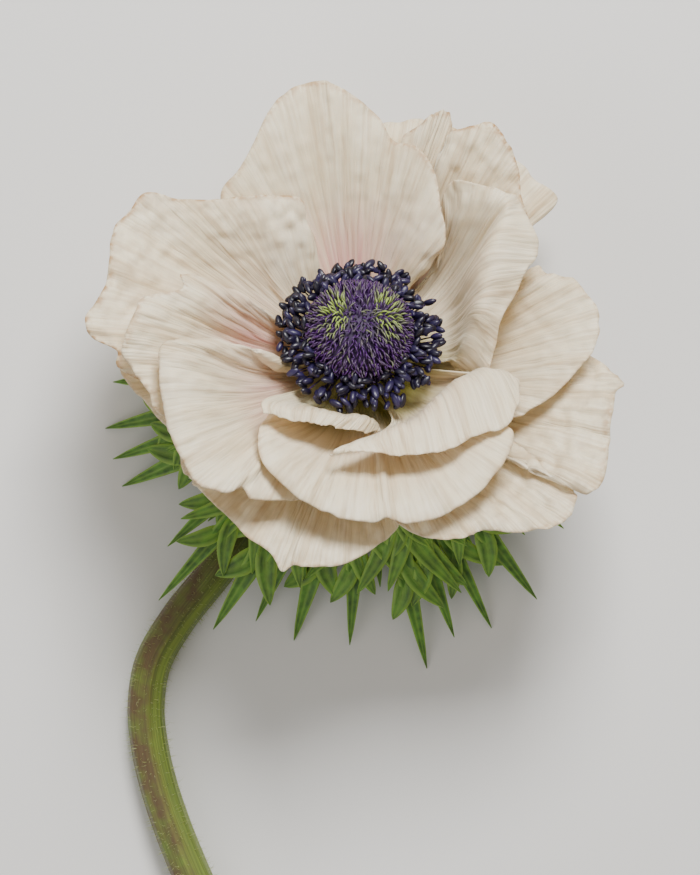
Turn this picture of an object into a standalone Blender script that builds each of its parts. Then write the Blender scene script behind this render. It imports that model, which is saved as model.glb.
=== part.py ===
"""A cut anemone flower lying on its bracts and stem, face up. Metres, +Z up.

Every dimension below is in millimetres. A petal is written as rows of points
(x, y, rise): x and y are level, and rise is the height above the flower's own
disc, the tilted plane through the top of the receptacle.
"""

import bmesh
import bpy
import numpy as np

MM = 0.001

# The flower's disc: where it is, and the way it faces.
DISC_CENTRE = np.array([-1.8, -1.8, 27.0])
DISC_AXIS = np.array([0.04, 0.42, 0.9066])
ORIGIN = np.array([-1.8168, -42.828, 0.0821])  # moved to the origin, so that the box stands on it

# Petals
PETAL_THICK = 0.36
PETAL_GAP = 0.34
PETAL_COLUMNS, PETAL_ROWS = 12, 9
BASE_RADIUS = 5.0
BASE_LOW, BASE_STEP = -8.8, 0.55

# Receptacle and stem
RECEPTACLE_RADIUS, RECEPTACLE_TOP = 4.5, 2.0
STEM_SIDES = 14
STEM_RIB = 0.12

# Pistil dome and stamens
DOME_PROFILE = ((0.0, 2.35), (4.6, 2.4), (6.2, 3.0), (8.1, 4.4), (8.9, 6.0), (8.5, 7.8),
                (7.2, 9.4), (5.2, 10.6), (2.8, 11.3), (0.0, 11.6))
DOME_SIDES = 28
STAMENS = 63
COLLAR = (4.85, 5.7, 0.5, 1.9)  # inner and outer radius, bottom and top

# Bracts
BRACT_THICK = 0.55
RUFF_DROP = 14.4
RUFF_RADIUS = 4.3


def petal(name, level, base, rim, foot=None, ridge=None, knots=None, hold=0.0):
    """One petal: its level and angles on the receptacle, its rim, and how it gets there."""
    return dict(name=name, level=level, base=base, rim=rim, foot=foot, ridge=ridge,
                knots=knots, hold=hold)


# Lowest first: each one lies over those before it.
PETALS = (
    petal("petal_back_top", 0, (24, 86),
          ((21, 9, -6), (28, 15.5, -2), (28.8, 19.6, 0), (33.7, 24.5, 3), (30.2, 28, 4),
           (26, 31.6, 5), (17, 36.4, 5.5), (10.5, 38.3, 6), (6.3, 38.7, 6),
           (2.4, 38, 4.5), (1, 33, 2), (0.5, 22, -3)), hold=-1),
    petal("petal_outer_bottom", 0, (224, 286),
          ((-24, -19, -5), (-30.6, -24.6, -2), (-28.4, -27.2, 0), (-23, -32.8, 2),
           (-17.3, -37.3, 3), (-15.2, -40.8, 3.5), (-13, -39.9, 3), (-9, -40, 3),
           (-3.5, -39.3, 2), (1.5, -36.6, 1), (5, -33, -1), (8, -25, -6)), hold=1.5),
    petal("petal_outer_left", 1, (176, 234),
          ((-28, 4, -4), (-39, 1, 0), (-43.2, -5.5, 5), (-39.8, -10.7, 5.5),
           (-35.6, -15, 5.5), (-33.7, -18.6, 5), (-32.2, -22.5, 4.5), (-30.2, -25.3, 4),
           (-24, -27, 0.5), (-16, -22, -4)), hold=0.5),
    petal("petal_outer_lower_right", 1, (276, 334),
          ((2.5, -26, -1), (5, -32.6, 3), (11, -35, 4), (16.5, -35.2, 4), (19.8, -33.7, 4),
           (25, -33.9, 4.5), (30.5, -33.6, 5), (34.4, -31.6, 5), (35.8, -28.6, 4.5),
           (34.6, -25.5, 2.5), (33, -19, -1), (25, -10, -5)), hold=1.0),
    petal("petal_outer_right", 2, (312, 362),
          ((24, -17, 1), (32, -25, 5), (34.9, -26.5, 6), (38.2, -27.3, 6.5),
           (40.9, -24.5, 6.5), (41.9, -19, 6.5), (42.5, -15.5, 7), (43.3, -10, 7),
           (44.6, -8.2, 7), (42.6, -5.8, 6.5), (38.8, -3, 5), (32, 1, 1), (20, 3, -5)),
          hold=1.0),
    petal("petal_narrow_top", 1, (52, 100),
          ((15, 14, -4), (17.5, 27, 4), (15.4, 34, 10.5), (14.7, 38.4, 14), (13.6, 40.1, 15),
           (12.1, 39.6, 15), (10.3, 38, 13.5), (6.6, 35.4, 10.5), (5, 29, 5.5), (4.5, 18, -2)),
          hold=-3),
    petal("petal_mottled", 2, (32, 84),
          ((20, 8, -3.5), (27, 15, 4.5), (28.3, 19.5, 10.5), (27.1, 24, 13), (26.3, 30, 15),
           (24.4, 34.4, 17), (21.6, 37.4, 18), (17.5, 36.7, 17.5), (13.9, 35.6, 16),
           (13.9, 32, 13.5), (14.8, 27, 10), (13.2, 18, 1.5), (10, 12, -4)), hold=-3),
    petal("petal_right", 3, (-26, 30),
          ((15.5, -9, -2), (24.4, -14, 5.5), (29, -12.3, 7.5), (33, -9.7, 9),
           (37.2, -5.2, 10.5), (39.5, -2, 11), (40.6, 1.8, 11.5), (39.4, 5.4, 11.5),
           (37.2, 8.9, 11.5), (34.3, 10.3, 11), (31.4, 10.8, 10), (30, 12.4, 9.5),
           (27.5, 11.5, 7.5), (20, 10, 0), (13.5, 7.5, -5)), hold=-1),
    petal("petal_right_rolled", 4, (4, 66),
          ((15.2, -5.2, -1), (20, -7, 6.5), (22.6, 0.2, 12.5), (26.7, 10.2, 15.5),
           (29.5, 15.2, 16.5), (26.5, 23, 18), (24, 25.1, 18.5), (18.4, 27, 17),
           (13.8, 26.3, 12.5), (12.6, 15, 1)),
          foot=((11.5, -4.5, -3.5), (13, -3.5, -3), (14, 0, -3), (14.2, 3, -3),
                (14, 5.5, -3), (13.6, 7.5, -3), (12.8, 9, -3.2), (11.6, 10, -3.6),
                (10.4, 10.5, -4), (9.3, 9.5, -4.4)),
          ridge=((14.4, -4.4, -1.5), (17, -3.5, 4), (18.8, 3, 12), (19.9, 8.6, 15.5),
                 (21.2, 15.5, 18), (23.2, 21.5, 19.5), (22, 22.6, 18), (17.2, 22.5, 13.5),
                 (14, 21, 8), (12.4, 12.5, -1)),
          knots=(0, 0.34, 0.74, 1)),
    petal("petal_top", 5, (62, 128),
          ((10.5, 12, 1), (13.6, 17.5, 7), (12.9, 23, 10), (11.5, 29.6, 12), (8.6, 33.2, 12.5),
           (4.3, 34.8, 12), (1.6, 39, 14), (-1.6, 41.9, 16), (-5.5, 44.3, 17), (-9, 45, 17),
           (-13.8, 43.3, 16), (-17.3, 39.5, 15), (-19.8, 34.5, 13), (-22.5, 30, 11),
           (-26, 25, 8.5), (-23, 19, 4.5), (-15, 12, -1)), hold=-4),
    petal("petal_upper_left", 6, (122, 186),
          ((-9.6, 12.5, 0), (-10.2, 19.5, 5), (-12.5, 24.6, 9), (-19, 24.9, 10.5),
           (-26, 24.5, 11), (-32, 24.1, 11.5), (-38.7, 25.2, 12.5), (-41.6, 22, 12),
           (-44.2, 19.3, 12), (-45.1, 13.5, 11.5), (-45.9, 8.3, 10.5), (-49, 3.3, 11),
           (-47.8, -0.2, 10), (-44, -2.6, 8.5), (-43.4, -5.5, 7), (-37, -8, 3.5),
           (-22, -5, -2)), hold=-2.5),
    petal("petal_left", 7, (152, 206),
          ((-13.6, 1.2, -1), (-18.2, 3.8, 3.5), (-22.3, 7.4, 8), (-26.5, 9.3, 11.5),
           (-32.3, 11, 15.5), (-32.6, 8.2, 15), (-38.9, 6.6, 16), (-40.4, 3.6, 16),
           (-42.1, 0, 15), (-42.3, -3.2, 14), (-40.7, -6.2, 12.5), (-37.8, -9.8, 10.5),
           (-35.4, -13.5, 8.5), (-24, -12, 1.5)), hold=-1.5),
    petal("petal_front_left", 8, (182, 244),
          ((-12.4, -6.6, -0.5), (-17, -5.3, 3.5), (-22, -1.9, 8.5), (-28, -0.3, 13),
           (-33.3, -0.6, 16.5), (-35.9, -1.6, 17), (-36.2, -6, 16), (-35.7, -11, 14.5),
           (-34.2, -16.5, 13), (-32.2, -21.5, 12), (-29.4, -25.5, 11),
           (-25, -27.3, 10.5), (-21.8, -26, 10), (-20.2, -28.3, 9), (-15, -28.7, 7.5),
           (-10, -27.5, 5), (-5, -20, -1.5)), hold=3.0),
    petal("petal_bottom_cup", 9, (240, 322),
          ((-16.8, -13.2, 6), (-19, -16.5, 9.5), (-19, -20.3, 10.8), (-16.5, -23.7, 11),
           (-12, -28, 10.5), (-8.6, -30, 10), (-4.4, -31.8, 9.5), (1, -32.5, 9),
           (3.3, -31.7, 9), (5.8, -32.5, 9), (11, -31.8, 9), (15.2, -30.1, 9),
           (19.5, -26.5, 9.5), (23.2, -21.6, 10), (24.8, -17.4, 10), (22, -14, 8)),
          hold=4.0),
    petal("petal_inner_strip", 10, (228, 284),
          ((-18.2, -13.2, 11.5), (-14, -14.3, 11.3), (-9.5, -15, 10.8), (-6.5, -15.6, 10.3),
           (-3.2, -16.3, 9.5), (0, -16.8, 8.5), (2.2, -16.6, 7.5)),
          foot=((-12.5, -9.3, 1), (-10.6, -11, 0), (-8, -12.2, -1), (-5.4, -13, -1.5),
                (-2.8, -13.4, -1.5), (-0.4, -13.7, -1.5), (1, -13.8, -1.5)),
          ridge=((-18.5, -11.6, 11), (-14, -12.8, 11), (-8.8, -13.3, 10), (-4.6, -14.1, 9.3),
                 (-1.4, -14.2, 8), (1, -15.2, 7.5), (2, -16, 7)),
          knots=(0, 0.42, 0.86, 1)),
    petal("petal_inner_bright", 11, (276, 338),
          ((-6.6, -20.6, 12), (-1, -20.2, 12), (4.5, -20.6, 12), (9.5, -20.4, 12),
           (14.5, -19.3, 12), (19.5, -17, 12), (24.2, -15.4, 12), (26.1, -11.5, 12),
           (26.3, -8.6, 11.8)),
          foot=((4.2, -15, 2), (4.4, -14.9, 1), (5.2, -14.6, -0.5), (7.4, -13.4, -1.5),
                (10.2, -11.2, -1.5), (12.8, -8.8, -1.5), (14.6, -7.4, -0.5), (15.8, -6.7, 2),
                (16.8, -6.4, 4.5)),
          ridge=((-5.2, -19.6, 11.8), (-1.5, -18.5, 11), (3.5, -16.7, 10), (8.5, -14.8, 9.5),
                 (12.3, -11.2, 9.5), (16.5, -8.2, 10), (20.5, -6.5, 10.5),
                 (23.2, -6.2, 11), (25.5, -7.2, 11.3)),
          knots=(0, 0.36, 0.72, 1)),
)

# The stem's centre line from the ruff to the cut end, and its radius along it.
STEM_BELOW = ((-2.9, -9.6, 9.6), (-6.2, -14.2, 6.2), (-12, -21.5, 4.5), (-20, -32, 3.7),
              (-27.5, -42, 3.35), (-34.2, -50.5, 3.3), (-38.4, -58, 3.3), (-39.6, -66, 3.35),
              (-38.9, -73, 3.4), (-37.3, -80, 3.45), (-35, -87, 3.55), (-32.2, -94, 3.65),
              (-29, -101, 3.7), (-25.4, -108, 3.75), (-21.6, -115, 3.75),
              (-18, -122, 3.75), (-15, -129, 3.75))

# Bracts: tips and notches of each, x, y and height over the surface.
BRACTS = (
    ("bract_left", (148, 240), 2.5,
     ((-20, 6, 9), (-34, 8, 2.2), (-24, 0, 9), (-45.6, -7.7, 1.2), (-27, -6, 9),
      (-47, -16, 0.35), (-28, -13, 9), (-45.6, -21.5, 1.5), (-28, -17, 9.5),
      (-44, -26.4, 0.35), (-26, -20, 10.5), (-35.6, -37, 9.4), (-22, -25, 11.5),
      (-37.2, -46.6, 8.9), (-17, -27, 12))),
    ("bract_lower", (250, 330), 2.5,
     ((-13, -30, 11.5), (-27.5, -51.8, 8.7), (-12, -32, 8), (-20, -50.5, 1.5),
      (-9, -33, 7.5), (-13.2, -54, 0.35), (-5, -34, 7.5), (-3.2, -54.8, 1.2),
      (1, -34, 7.5), (10.6, -59, 0.35), (6, -34, 7.5), (15.5, -53.4, 2), (10, -32, 7.5),
      (22.2, -51.8, 0.35), (14, -30, 8), (30.3, -46.6, 1.5), (17, -25, 8))),
    ("bract_right", (-20, 92), -6,
     ((15, -19, 8), (28, -35, 7), (20, -19, 8), (34.8, -33.8, 11), (21, -14, 8),
      (34, -17, 3), (22, -6, 4.5), (37, -4, 0.35), (21, 2, 3), (31, 10, 0.35), (17, 8, 2.6),
      (22, 22, 0.5), (11, 13, 2.4), (8, 29, 0.35), (2, 14, 2.4), (-8, 26, 0.7),
      (-6, 13, 3))),
)


def unit(v):
    return v / np.linalg.norm(v)


AXIS = unit(DISC_AXIS)
SIDE = unit(np.array([1.0, 0.0, 0.0]) - AXIS[0] * AXIS)
UP = np.cross(AXIS, SIDE)


def on_disc(radius, angle, height):
    """A point at a radius, an angle in degrees and a height along the flower's axis."""
    turn = np.radians(angle)
    level = np.cos(turn)[..., None] * SIDE + np.sin(turn)[..., None] * UP
    radius, height = np.asarray(radius, float), np.asarray(height, float)
    return DISC_CENTRE + radius[..., None] * level + height[..., None] * AXIS


def risen(points):
    """(x, y, rise) as (x, y, z)."""
    points = np.array(points, float)
    dx, dy = points[..., 0] - DISC_CENTRE[0], points[..., 1] - DISC_CENTRE[1]
    points[..., 2] = DISC_CENTRE[2] + (points[..., 2] - AXIS[0] * dx - AXIS[1] * dy) / AXIS[2]
    return points


def through(points, at, knots=None):
    """A smooth curve through the points, at each knot; straight-ish where they are straight."""
    points = np.asarray(points, float)
    count = len(points)
    knots = np.linspace(0, 1, count) if knots is None else np.asarray(knots, float)
    steps = np.diff(knots).reshape((-1,) + (1,) * (points.ndim - 1))
    slopes = np.diff(points, axis=0) / steps
    tangents = np.concatenate([slopes[:1], (slopes[:-1] + slopes[1:]) / 2, slopes[-1:]])
    at = np.asarray(at, float)
    cell = np.clip(np.searchsorted(knots, at, "right") - 1, 0, count - 2)
    shape = (-1,) + (1,) * (points.ndim - 1)
    wide = (knots[cell + 1] - knots[cell]).reshape(shape)
    t = (at - knots[cell]).reshape(shape) / wide
    a, b = points[cell], points[cell + 1]
    ta, tb = tangents[cell] * wide, tangents[cell + 1] * wide
    return ((2 * t**3 - 3 * t**2 + 1) * a + (t**3 - 2 * t**2 + t) * ta
            + (3 * t**2 - 2 * t**3) * b + (t**3 - t**2) * tb)


def petal_points(spec, us, vs):
    """The petal's middle surface: u runs across it from one side to the other, v out to the rim."""
    angles = spec["base"][0] + (spec["base"][1] - spec["base"][0]) * us
    height = BASE_LOW + BASE_STEP * spec["level"]
    base = on_disc(np.full(len(us), BASE_RADIUS), angles, np.full(len(us), height))
    rim = risen(through(spec["rim"], us))
    if spec["ridge"]:
        foot = risen(through(spec["foot"], us))
        ridge = risen(through(spec["ridge"], us))
        return through(np.stack([base, foot, ridge, rim]), vs, spec["knots"]).swapaxes(0, 1)
    outward = on_disc(np.full(len(us), BASE_RADIUS + 1), angles, np.full(len(us), height)) - base
    span = np.linalg.norm(rim - base, axis=1)[:, None]
    first = base + 0.42 * span * outward
    second = base + 0.66 * (rim - base)
    second[:, 2] = rim[:, 2] + (spec["hold"] - 0.463 * (second[:, 1] - rim[:, 1]))
    v = vs[None, :, None]
    b, p, q, r = (row[:, None, :] for row in (base, first, second, rim))
    return (1 - v) ** 3 * b + 3 * (1 - v) ** 2 * v * p + 3 * (1 - v) * v**2 * q + v**3 * r


def normals_of(grid):
    """Unit normals of a grid of points, facing up."""
    du, dv = np.gradient(grid, axis=0), np.gradient(grid, axis=1)
    across = np.cross(du, dv)
    across /= np.maximum(np.linalg.norm(across, axis=2, keepdims=True), 1e-9)
    return across if across[..., 2].mean() > 0 else -across


def finer(grid, parts):
    """Points spread over every cell of a grid, with the cell each one is in."""
    nu, nv = grid.shape[0] - 1, grid.shape[1] - 1
    s = (np.arange(nu * parts) + 0.5) / parts
    t = (np.arange(nv * parts) + 0.5) / parts
    i, j = s.astype(int), t.astype(int)
    fs, ft = (s - i)[:, None, None], (t - j)[None, :, None]
    a, b = grid[i][:, j], grid[i + 1][:, j]
    c, d = grid[i][:, j + 1], grid[i + 1][:, j + 1]
    points = (1 - fs) * (1 - ft) * a + fs * (1 - ft) * b + (1 - fs) * ft * c + fs * ft * d
    return points, i, j


def spread(field):
    """The largest of each cell and the eight round it."""
    wide = np.pad(field, 1, mode="edge")
    parts = [wide[i:i + field.shape[0], j:j + field.shape[1]] for i in range(3) for j in range(3)]
    return np.max(parts, axis=0)


def settled(grids, thick, gap, cell=0.4, parts=12, turns=8):
    """From the top petal down, presses each grid clear of all those over it; base rows stay."""
    size = int(130 / cell)
    under = np.full((size, size), 1e3)

    def offsets(grid):
        points, i, j = finer(grid, parts)
        lean = np.clip(normals_of(points)[..., 2], 0.3, 1)
        room = gap * np.interp(j, [0, 3], [0.55, 1])
        x = np.clip(((points[..., 0] + 62) / cell).astype(int), 0, size - 1)
        y = np.clip(((points[..., 1] + 62) / cell).astype(int), 0, size - 1)
        return points[..., 2], (thick + room) / 2 / lean, x, y, i, j

    done = []
    for grid in grids[::-1]:
        grid = grid.copy()
        for _ in range(2):
            z, reach, x, y, i, j = offsets(grid)
            need = np.maximum(z + reach + spread(-under)[x, y], 0)
            drop = np.zeros(grid.shape[:2])
            for di in (0, 1):
                for dj in (0, 1):
                    np.maximum.at(drop, (i[:, None] + di, j[None, :] + dj), need)
            drop[:, 0] = 0
            least = drop.copy()
            for _ in range(turns):
                wide = np.pad(drop, 1, mode="edge")
                mean = (wide[:-2, 1:-1] + wide[2:, 1:-1] + wide[1:-1, :-2] + wide[1:-1, 2:]) / 4
                drop = np.maximum(least, mean)
                drop[:, 0] = 0
            grid[..., 2] -= drop
        z, reach, x, y, _, _ = offsets(grid)
        np.minimum.at(under, (x, y), z - reach)
        done.append(grid)
    return done[::-1]


def material(name, colour, roughness):
    made = bpy.data.materials.new(name)
    made.use_nodes = True
    shader = made.node_tree.nodes["Principled BSDF"]
    linear = [((c / 255 + 0.055) / 1.055) ** 2.4 for c in bytes.fromhex(colour)]
    shader.inputs["Base Color"].default_value = (*linear, 1)
    shader.inputs["Roughness"].default_value = roughness
    shader.inputs["Metallic"].default_value = 0.0
    made.diffuse_color = (*linear, 1)
    return made


def add(name, points, faces, colour):
    """A named closed mesh of these points in millimetres, its faces turned outwards."""
    mesh = bpy.data.meshes.new(name)
    points = (np.asarray(points, float) - ORIGIN) * MM
    mesh.from_pydata([tuple(p) for p in points], [], [tuple(map(int, f)) for f in faces])
    made = bmesh.new()
    made.from_mesh(mesh)
    bmesh.ops.recalc_face_normals(made, faces=made.faces)
    made.to_mesh(mesh)
    made.free()
    obj = bpy.data.objects.new(name, mesh)
    mesh.materials.append(colour)
    bpy.context.scene.collection.objects.link(obj)
    return obj


def sheet(grid, thick):
    """The closed thin solid about a grid of points."""
    offset = normals_of(grid) * thick / 2
    nu, nv = grid.shape[:2]
    index = np.arange(nu * nv).reshape(nu, nv)
    cells = [(index[i, j], index[i + 1, j], index[i + 1, j + 1], index[i, j + 1])
             for i in range(nu - 1) for j in range(nv - 1)]
    under = nu * nv
    faces = cells + [tuple(k + under for k in cell[::-1]) for cell in cells]
    edge = ([index[i, 0] for i in range(nu)] + [index[-1, j] for j in range(1, nv)]
            + [index[i, -1] for i in range(nu - 2, -1, -1)]
            + [index[0, j] for j in range(nv - 2, 0, -1)])
    for a, b in zip(edge, edge[1:] + edge[:1]):
        faces.append((b, a, a + under, b + under))
    points = np.concatenate([(grid + offset).reshape(-1, 3), (grid - offset).reshape(-1, 3)])
    return points, faces


def tube(centres, sides, radii, frames):
    """A closed tube about centres, each ring drawn in its own frame."""
    points, faces = [], []
    for centre, row, (a, b) in zip(centres, radii, frames):
        turn = np.arange(sides) * 2 * np.pi / sides
        points.extend(centre + np.outer(row * np.cos(turn), a) + np.outer(row * np.sin(turn), b))
    count = len(centres)
    for k in range(count - 1):
        for i in range(sides):
            j = (i + 1) % sides
            faces.append((k * sides + i, k * sides + j, (k + 1) * sides + j, (k + 1) * sides + i))
    faces.append(tuple(range(sides))[::-1])
    faces.append(tuple((count - 1) * sides + i for i in range(sides)))
    return points, faces


def carried(centres):
    """Frames carried along a line without twisting."""
    along = np.gradient(centres, axis=0)
    along /= np.linalg.norm(along, axis=1, keepdims=True)
    a = unit(np.cross(along[0], [0.3, 1, 0.2]))
    frames = []
    for step in along:
        a = unit(a - a.dot(step) * step)
        frames.append((a, np.cross(step, a)))
    return frames


def stem_line(count):
    top = [DISC_CENTRE + AXIS * h for h in (RECEPTACLE_TOP, -4, -8, -11, -14)]
    line = np.array(top + list(STEM_BELOW))
    lengths = np.concatenate([[0], np.cumsum(np.linalg.norm(np.diff(line, axis=0), axis=1))])
    at = np.linspace(0, 1, count) ** 1.12
    return through(line, at, lengths / lengths[-1]), at * lengths[-1]


def build_stem(colour):
    centres, far = stem_line(46)
    swell = np.interp(far, [0, 1, 9, 12, 15, 30, 70, 180],
                      [4.2, RECEPTACLE_RADIUS, RECEPTACLE_RADIUS, 3.7, 3.2, 3.2, 3.2, 3.6])
    turn = np.arange(STEM_SIDES) * 2 * np.pi / STEM_SIDES
    ribs = np.outer(np.where(far > 14, 1, 0), STEM_RIB * np.cos(turn * STEM_SIDES / 2))
    points, faces = tube(centres, STEM_SIDES, swell[:, None] + ribs, carried(centres))
    add("stem", points, faces, colour)


def build_dome(colour):
    """The pistil dome: the profile turned about the flower's axis."""
    inner = DOME_PROFILE[1:-1]
    angles = np.arange(DOME_SIDES) * 360 / DOME_SIDES
    points = [on_disc(np.array(0.0), np.array(0.0), np.array(DOME_PROFILE[0][1]))]
    for radius, height in inner:
        points.extend(on_disc(np.full(DOME_SIDES, radius), angles, np.full(DOME_SIDES, height)))
    points.append(on_disc(np.array(0.0), np.array(0.0), np.array(DOME_PROFILE[-1][1])))
    faces = []
    for i in range(DOME_SIDES):
        j = (i + 1) % DOME_SIDES
        faces.append((0, 1 + j, 1 + i))
        for k in range(len(inner) - 1):
            low, high = 1 + k * DOME_SIDES, 1 + (k + 1) * DOME_SIDES
            faces.append((low + i, low + j, high + j, high + i))
        last = 1 + (len(inner) - 1) * DOME_SIDES
        faces.append((last + i, last + j, len(points) - 1))
    add("pistil_dome", points, faces, colour)


def anther_place(number):
    """Where stamen number stands: radius and height of its anther's middle, in three rings."""
    ring = number % 3
    wobble = np.sin(number * 2.4)
    radius = (10.5 + 0.2 * wobble, 12.1 + 0.3 * wobble, 13.7 + 0.3 * wobble)[ring]
    return radius, (7.0 + 0.4 * wobble, 5.4 + 0.4 * wobble, 4.0 + 0.3 * wobble)[ring]


def build_stamens(colour):
    """A collar round the receptacle, each of its outer faces drawn out into a stamen."""
    inner, outer, low, high = COLLAR
    count = STAMENS
    angles = np.arange(count) * 360 / count
    rings = [on_disc(np.full(count, r), angles, np.full(count, h))
             for r, h in ((inner, low), (inner, high), (outer, high), (outer, low))]
    points = list(np.concatenate(rings))
    faces = []
    for i in range(count):
        j = (i + 1) % count
        for a in (0, 1, 3):
            b = (a + 1) % 4
            faces.append((a * count + i, a * count + j, b * count + j, b * count + i))
        root = [2 * count + i, 3 * count + i, 3 * count + j, 2 * count + j]
        middle = angles[i] + 180 / count
        radius, height = anther_place(i)
        for r, h, wide, tall in ((7.6, 1.4 + 0.1 * height, 0.22, 0.22),
                                 (radius - 0.75, height - 0.45, 0.24, 0.24),
                                 (radius - 0.1, height, 0.62, 0.5),
                                 (radius + 1.0, height + 0.6, 0.3, 0.26)):
            sideways = np.degrees(wide / r)
            ring = [len(points) + k for k in range(4)]
            for da, dh in ((-sideways, tall), (-sideways, -tall), (sideways, -tall),
                           (sideways, tall)):
                points.append(on_disc(np.array(r), np.array(middle + da), np.array(h + dh)))
            for k in range(4):
                m = (k + 1) % 4
                faces.append((root[k], root[m], ring[m], ring[k]))
            root = ring
        faces.append(tuple(root))
    add("stamens", points, faces, colour)


def lobed(edge):
    """The bract's outline: each lobe keeps most of its width to half its length."""
    edge = np.array(edge, float)
    outline = [edge[0]]
    for k in range(1, len(edge) - 1, 2):
        before, tip, after = edge[k - 1:k + 2]
        middle = (before + after) / 2
        halfway = tip + 0.48 * (middle - tip)
        outline += [halfway + 0.8 * (before - middle), tip, halfway + 0.8 * (after - middle)]
        outline.append(after)
    return np.array(outline)


def bract_grid(arc, rise, edge, rows=4):
    """A bract spreads from its arc on the stem out to its tips and notches, and sinks outwards."""
    edge = lobed(edge)
    count = len(edge)
    at = np.linspace(0, 1, count)
    angles = arc[0] + (arc[1] - arc[0]) * at
    base = on_disc(np.full(count, RUFF_RADIUS), angles, np.full(count, -RUFF_DROP))
    inner = on_disc(np.full(count, RUFF_RADIUS + 4), angles, np.full(count, -RUFF_DROP - 0.2))
    edge = np.array(edge, float)
    grid = []
    for v in np.linspace(0, 1, rows + 1):
        grid.append((1 - v) ** 2 * base + 2 * (1 - v) * v * (0.5 * inner + 0.5 * (
            base + 0.55 * (edge - base) + [0, 0, rise])) + v**2 * edge)
    return np.array(grid).swapaxes(0, 1)


def clear_scene():
    for obj in list(bpy.data.objects):
        bpy.data.objects.remove(obj, do_unlink=True)


def build():
    clear_scene()
    cream = material("petal_cream", "E9DFCB", 0.6)
    green = material("leaf_green", "3F6B1F", 0.6)
    stalk = material("stem_green", "7C8A33", 0.55)
    violet = material("anther_violet", "1E1838", 0.4)
    purple = material("style_purple", "4A2050", 0.5)
    us, vs = np.linspace(0, 1, PETAL_COLUMNS + 1), np.linspace(0, 1, PETAL_ROWS + 1)
    grids = settled([petal_points(spec, us, vs) for spec in PETALS], PETAL_THICK, PETAL_GAP)
    for spec, grid in zip(PETALS, grids):
        add(spec["name"], *sheet(grid, PETAL_THICK), cream)
    build_stem(stalk)
    build_dome(purple)
    build_stamens(violet)
    for name, arc, rise, edge in BRACTS:
        add(name, *sheet(bract_grid(arc, rise, edge), BRACT_THICK), green)


build()
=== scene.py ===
"""A cut cream anemone in bloom: the finished surface of every piece, over its solids.

Run as a script in Blender 4.5. Lengths in the tables are millimetres, in the same frame as
the solids before they are moved to the origin; meshes are made in metres.
"""

import bpy
import numpy as np
from mathutils import Matrix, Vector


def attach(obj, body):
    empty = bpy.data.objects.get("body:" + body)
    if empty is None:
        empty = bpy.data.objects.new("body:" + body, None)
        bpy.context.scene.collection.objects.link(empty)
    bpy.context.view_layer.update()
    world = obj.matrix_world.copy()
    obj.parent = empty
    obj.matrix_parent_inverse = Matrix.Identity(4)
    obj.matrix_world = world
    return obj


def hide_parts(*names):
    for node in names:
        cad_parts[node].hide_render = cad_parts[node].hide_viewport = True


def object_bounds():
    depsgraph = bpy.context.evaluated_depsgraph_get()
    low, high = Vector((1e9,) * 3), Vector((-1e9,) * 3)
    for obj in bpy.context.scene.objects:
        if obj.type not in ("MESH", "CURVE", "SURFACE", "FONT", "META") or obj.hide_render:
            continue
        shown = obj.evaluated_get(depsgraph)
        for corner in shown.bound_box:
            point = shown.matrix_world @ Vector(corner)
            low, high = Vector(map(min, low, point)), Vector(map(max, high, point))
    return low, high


bl_info = {
    "name": "Anemone bloom",
    "version": (1, 0, 0),
    "blender": (4, 5, 0),
    "location": "3D View > Sidebar > Anemone",
    "description": "Petals, stamens, pistil, ruff leaves and stem of a cut anemone",
    "category": "Object",
}

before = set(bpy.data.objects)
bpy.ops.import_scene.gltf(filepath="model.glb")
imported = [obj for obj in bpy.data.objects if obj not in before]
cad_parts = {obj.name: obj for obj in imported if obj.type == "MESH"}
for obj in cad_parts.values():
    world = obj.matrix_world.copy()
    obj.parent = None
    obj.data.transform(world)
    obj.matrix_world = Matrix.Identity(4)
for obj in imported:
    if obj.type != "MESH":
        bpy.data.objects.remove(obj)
CAD_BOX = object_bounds()

MM = 0.001
DISC_CENTRE = np.array([-1.8, -1.8, 27.0])
DISC_AXIS = np.array([0.04, 0.42, 0.9066])
ORIGIN = np.array([-1.8168, -42.828, 0.0821])

# How the petal solids are laid out and settled
SOLID_THICK, SOLID_GAP = 0.36, 0.34
SOLID_COLUMNS, SOLID_ROWS = 12, 9
BASE_RADIUS = 5.0
BASE_LOW, BASE_STEP = -8.8, 0.55

# Pistil dome: radius and height pairs up the disc's axis
DOME_PROFILE = ((0.0, 2.35), (4.6, 2.4), (6.2, 3.0), (8.1, 4.4), (8.9, 6.0), (8.5, 7.8),
                (7.2, 9.4), (5.2, 10.6), (2.8, 11.3), (0.0, 11.6))
RECEPTACLE_RADIUS, RECEPTACLE_TOP = 4.5, 2.0
RUFF_DROP, RUFF_RADIUS = 14.4, 4.3

# Finished surfaces
SKIN_GAP = 0.05  # least space between two finished petals
RIM_THINNING = 0.35  # a sheet's thickness at its edge, as a share of the rest
LEAF_THICK = 0.34
FLOOR_CLEAR = 0.02  # the lowest a leaf or the stem goes over the surface
STEM_SWELL = ((0, 1, 9, 12, 15, 30, 70, 180),
              (4.2, RECEPTACLE_RADIUS, RECEPTACLE_RADIUS, 3.7, 3.2, 3.2, 3.2, 3.6))
GOLDEN_ANGLE = 137.508
ANTHER_RADIUS = 0.6
STAMEN_NEAR, STAMEN_SPAN = 9.4, 5.0  # the ring's inner radius and how much wider it gets
STAMEN_HIGH, STAMEN_FALL = 7.2, 0.62  # height at the inner radius, and its fall per millimetre
LIME_WHORLS = ((-4.2, 1.6), (4.4, 1.4))  # middles of the dome's lime patches, across the disc

# Camera: what it is centred on, how tall its view is, and its lens and film
VIEW_CENTRE = np.array([-3.158, -17.632])
VIEW_TALL = 153.5
LENS, FILM = 300.0, 36.0


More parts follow.
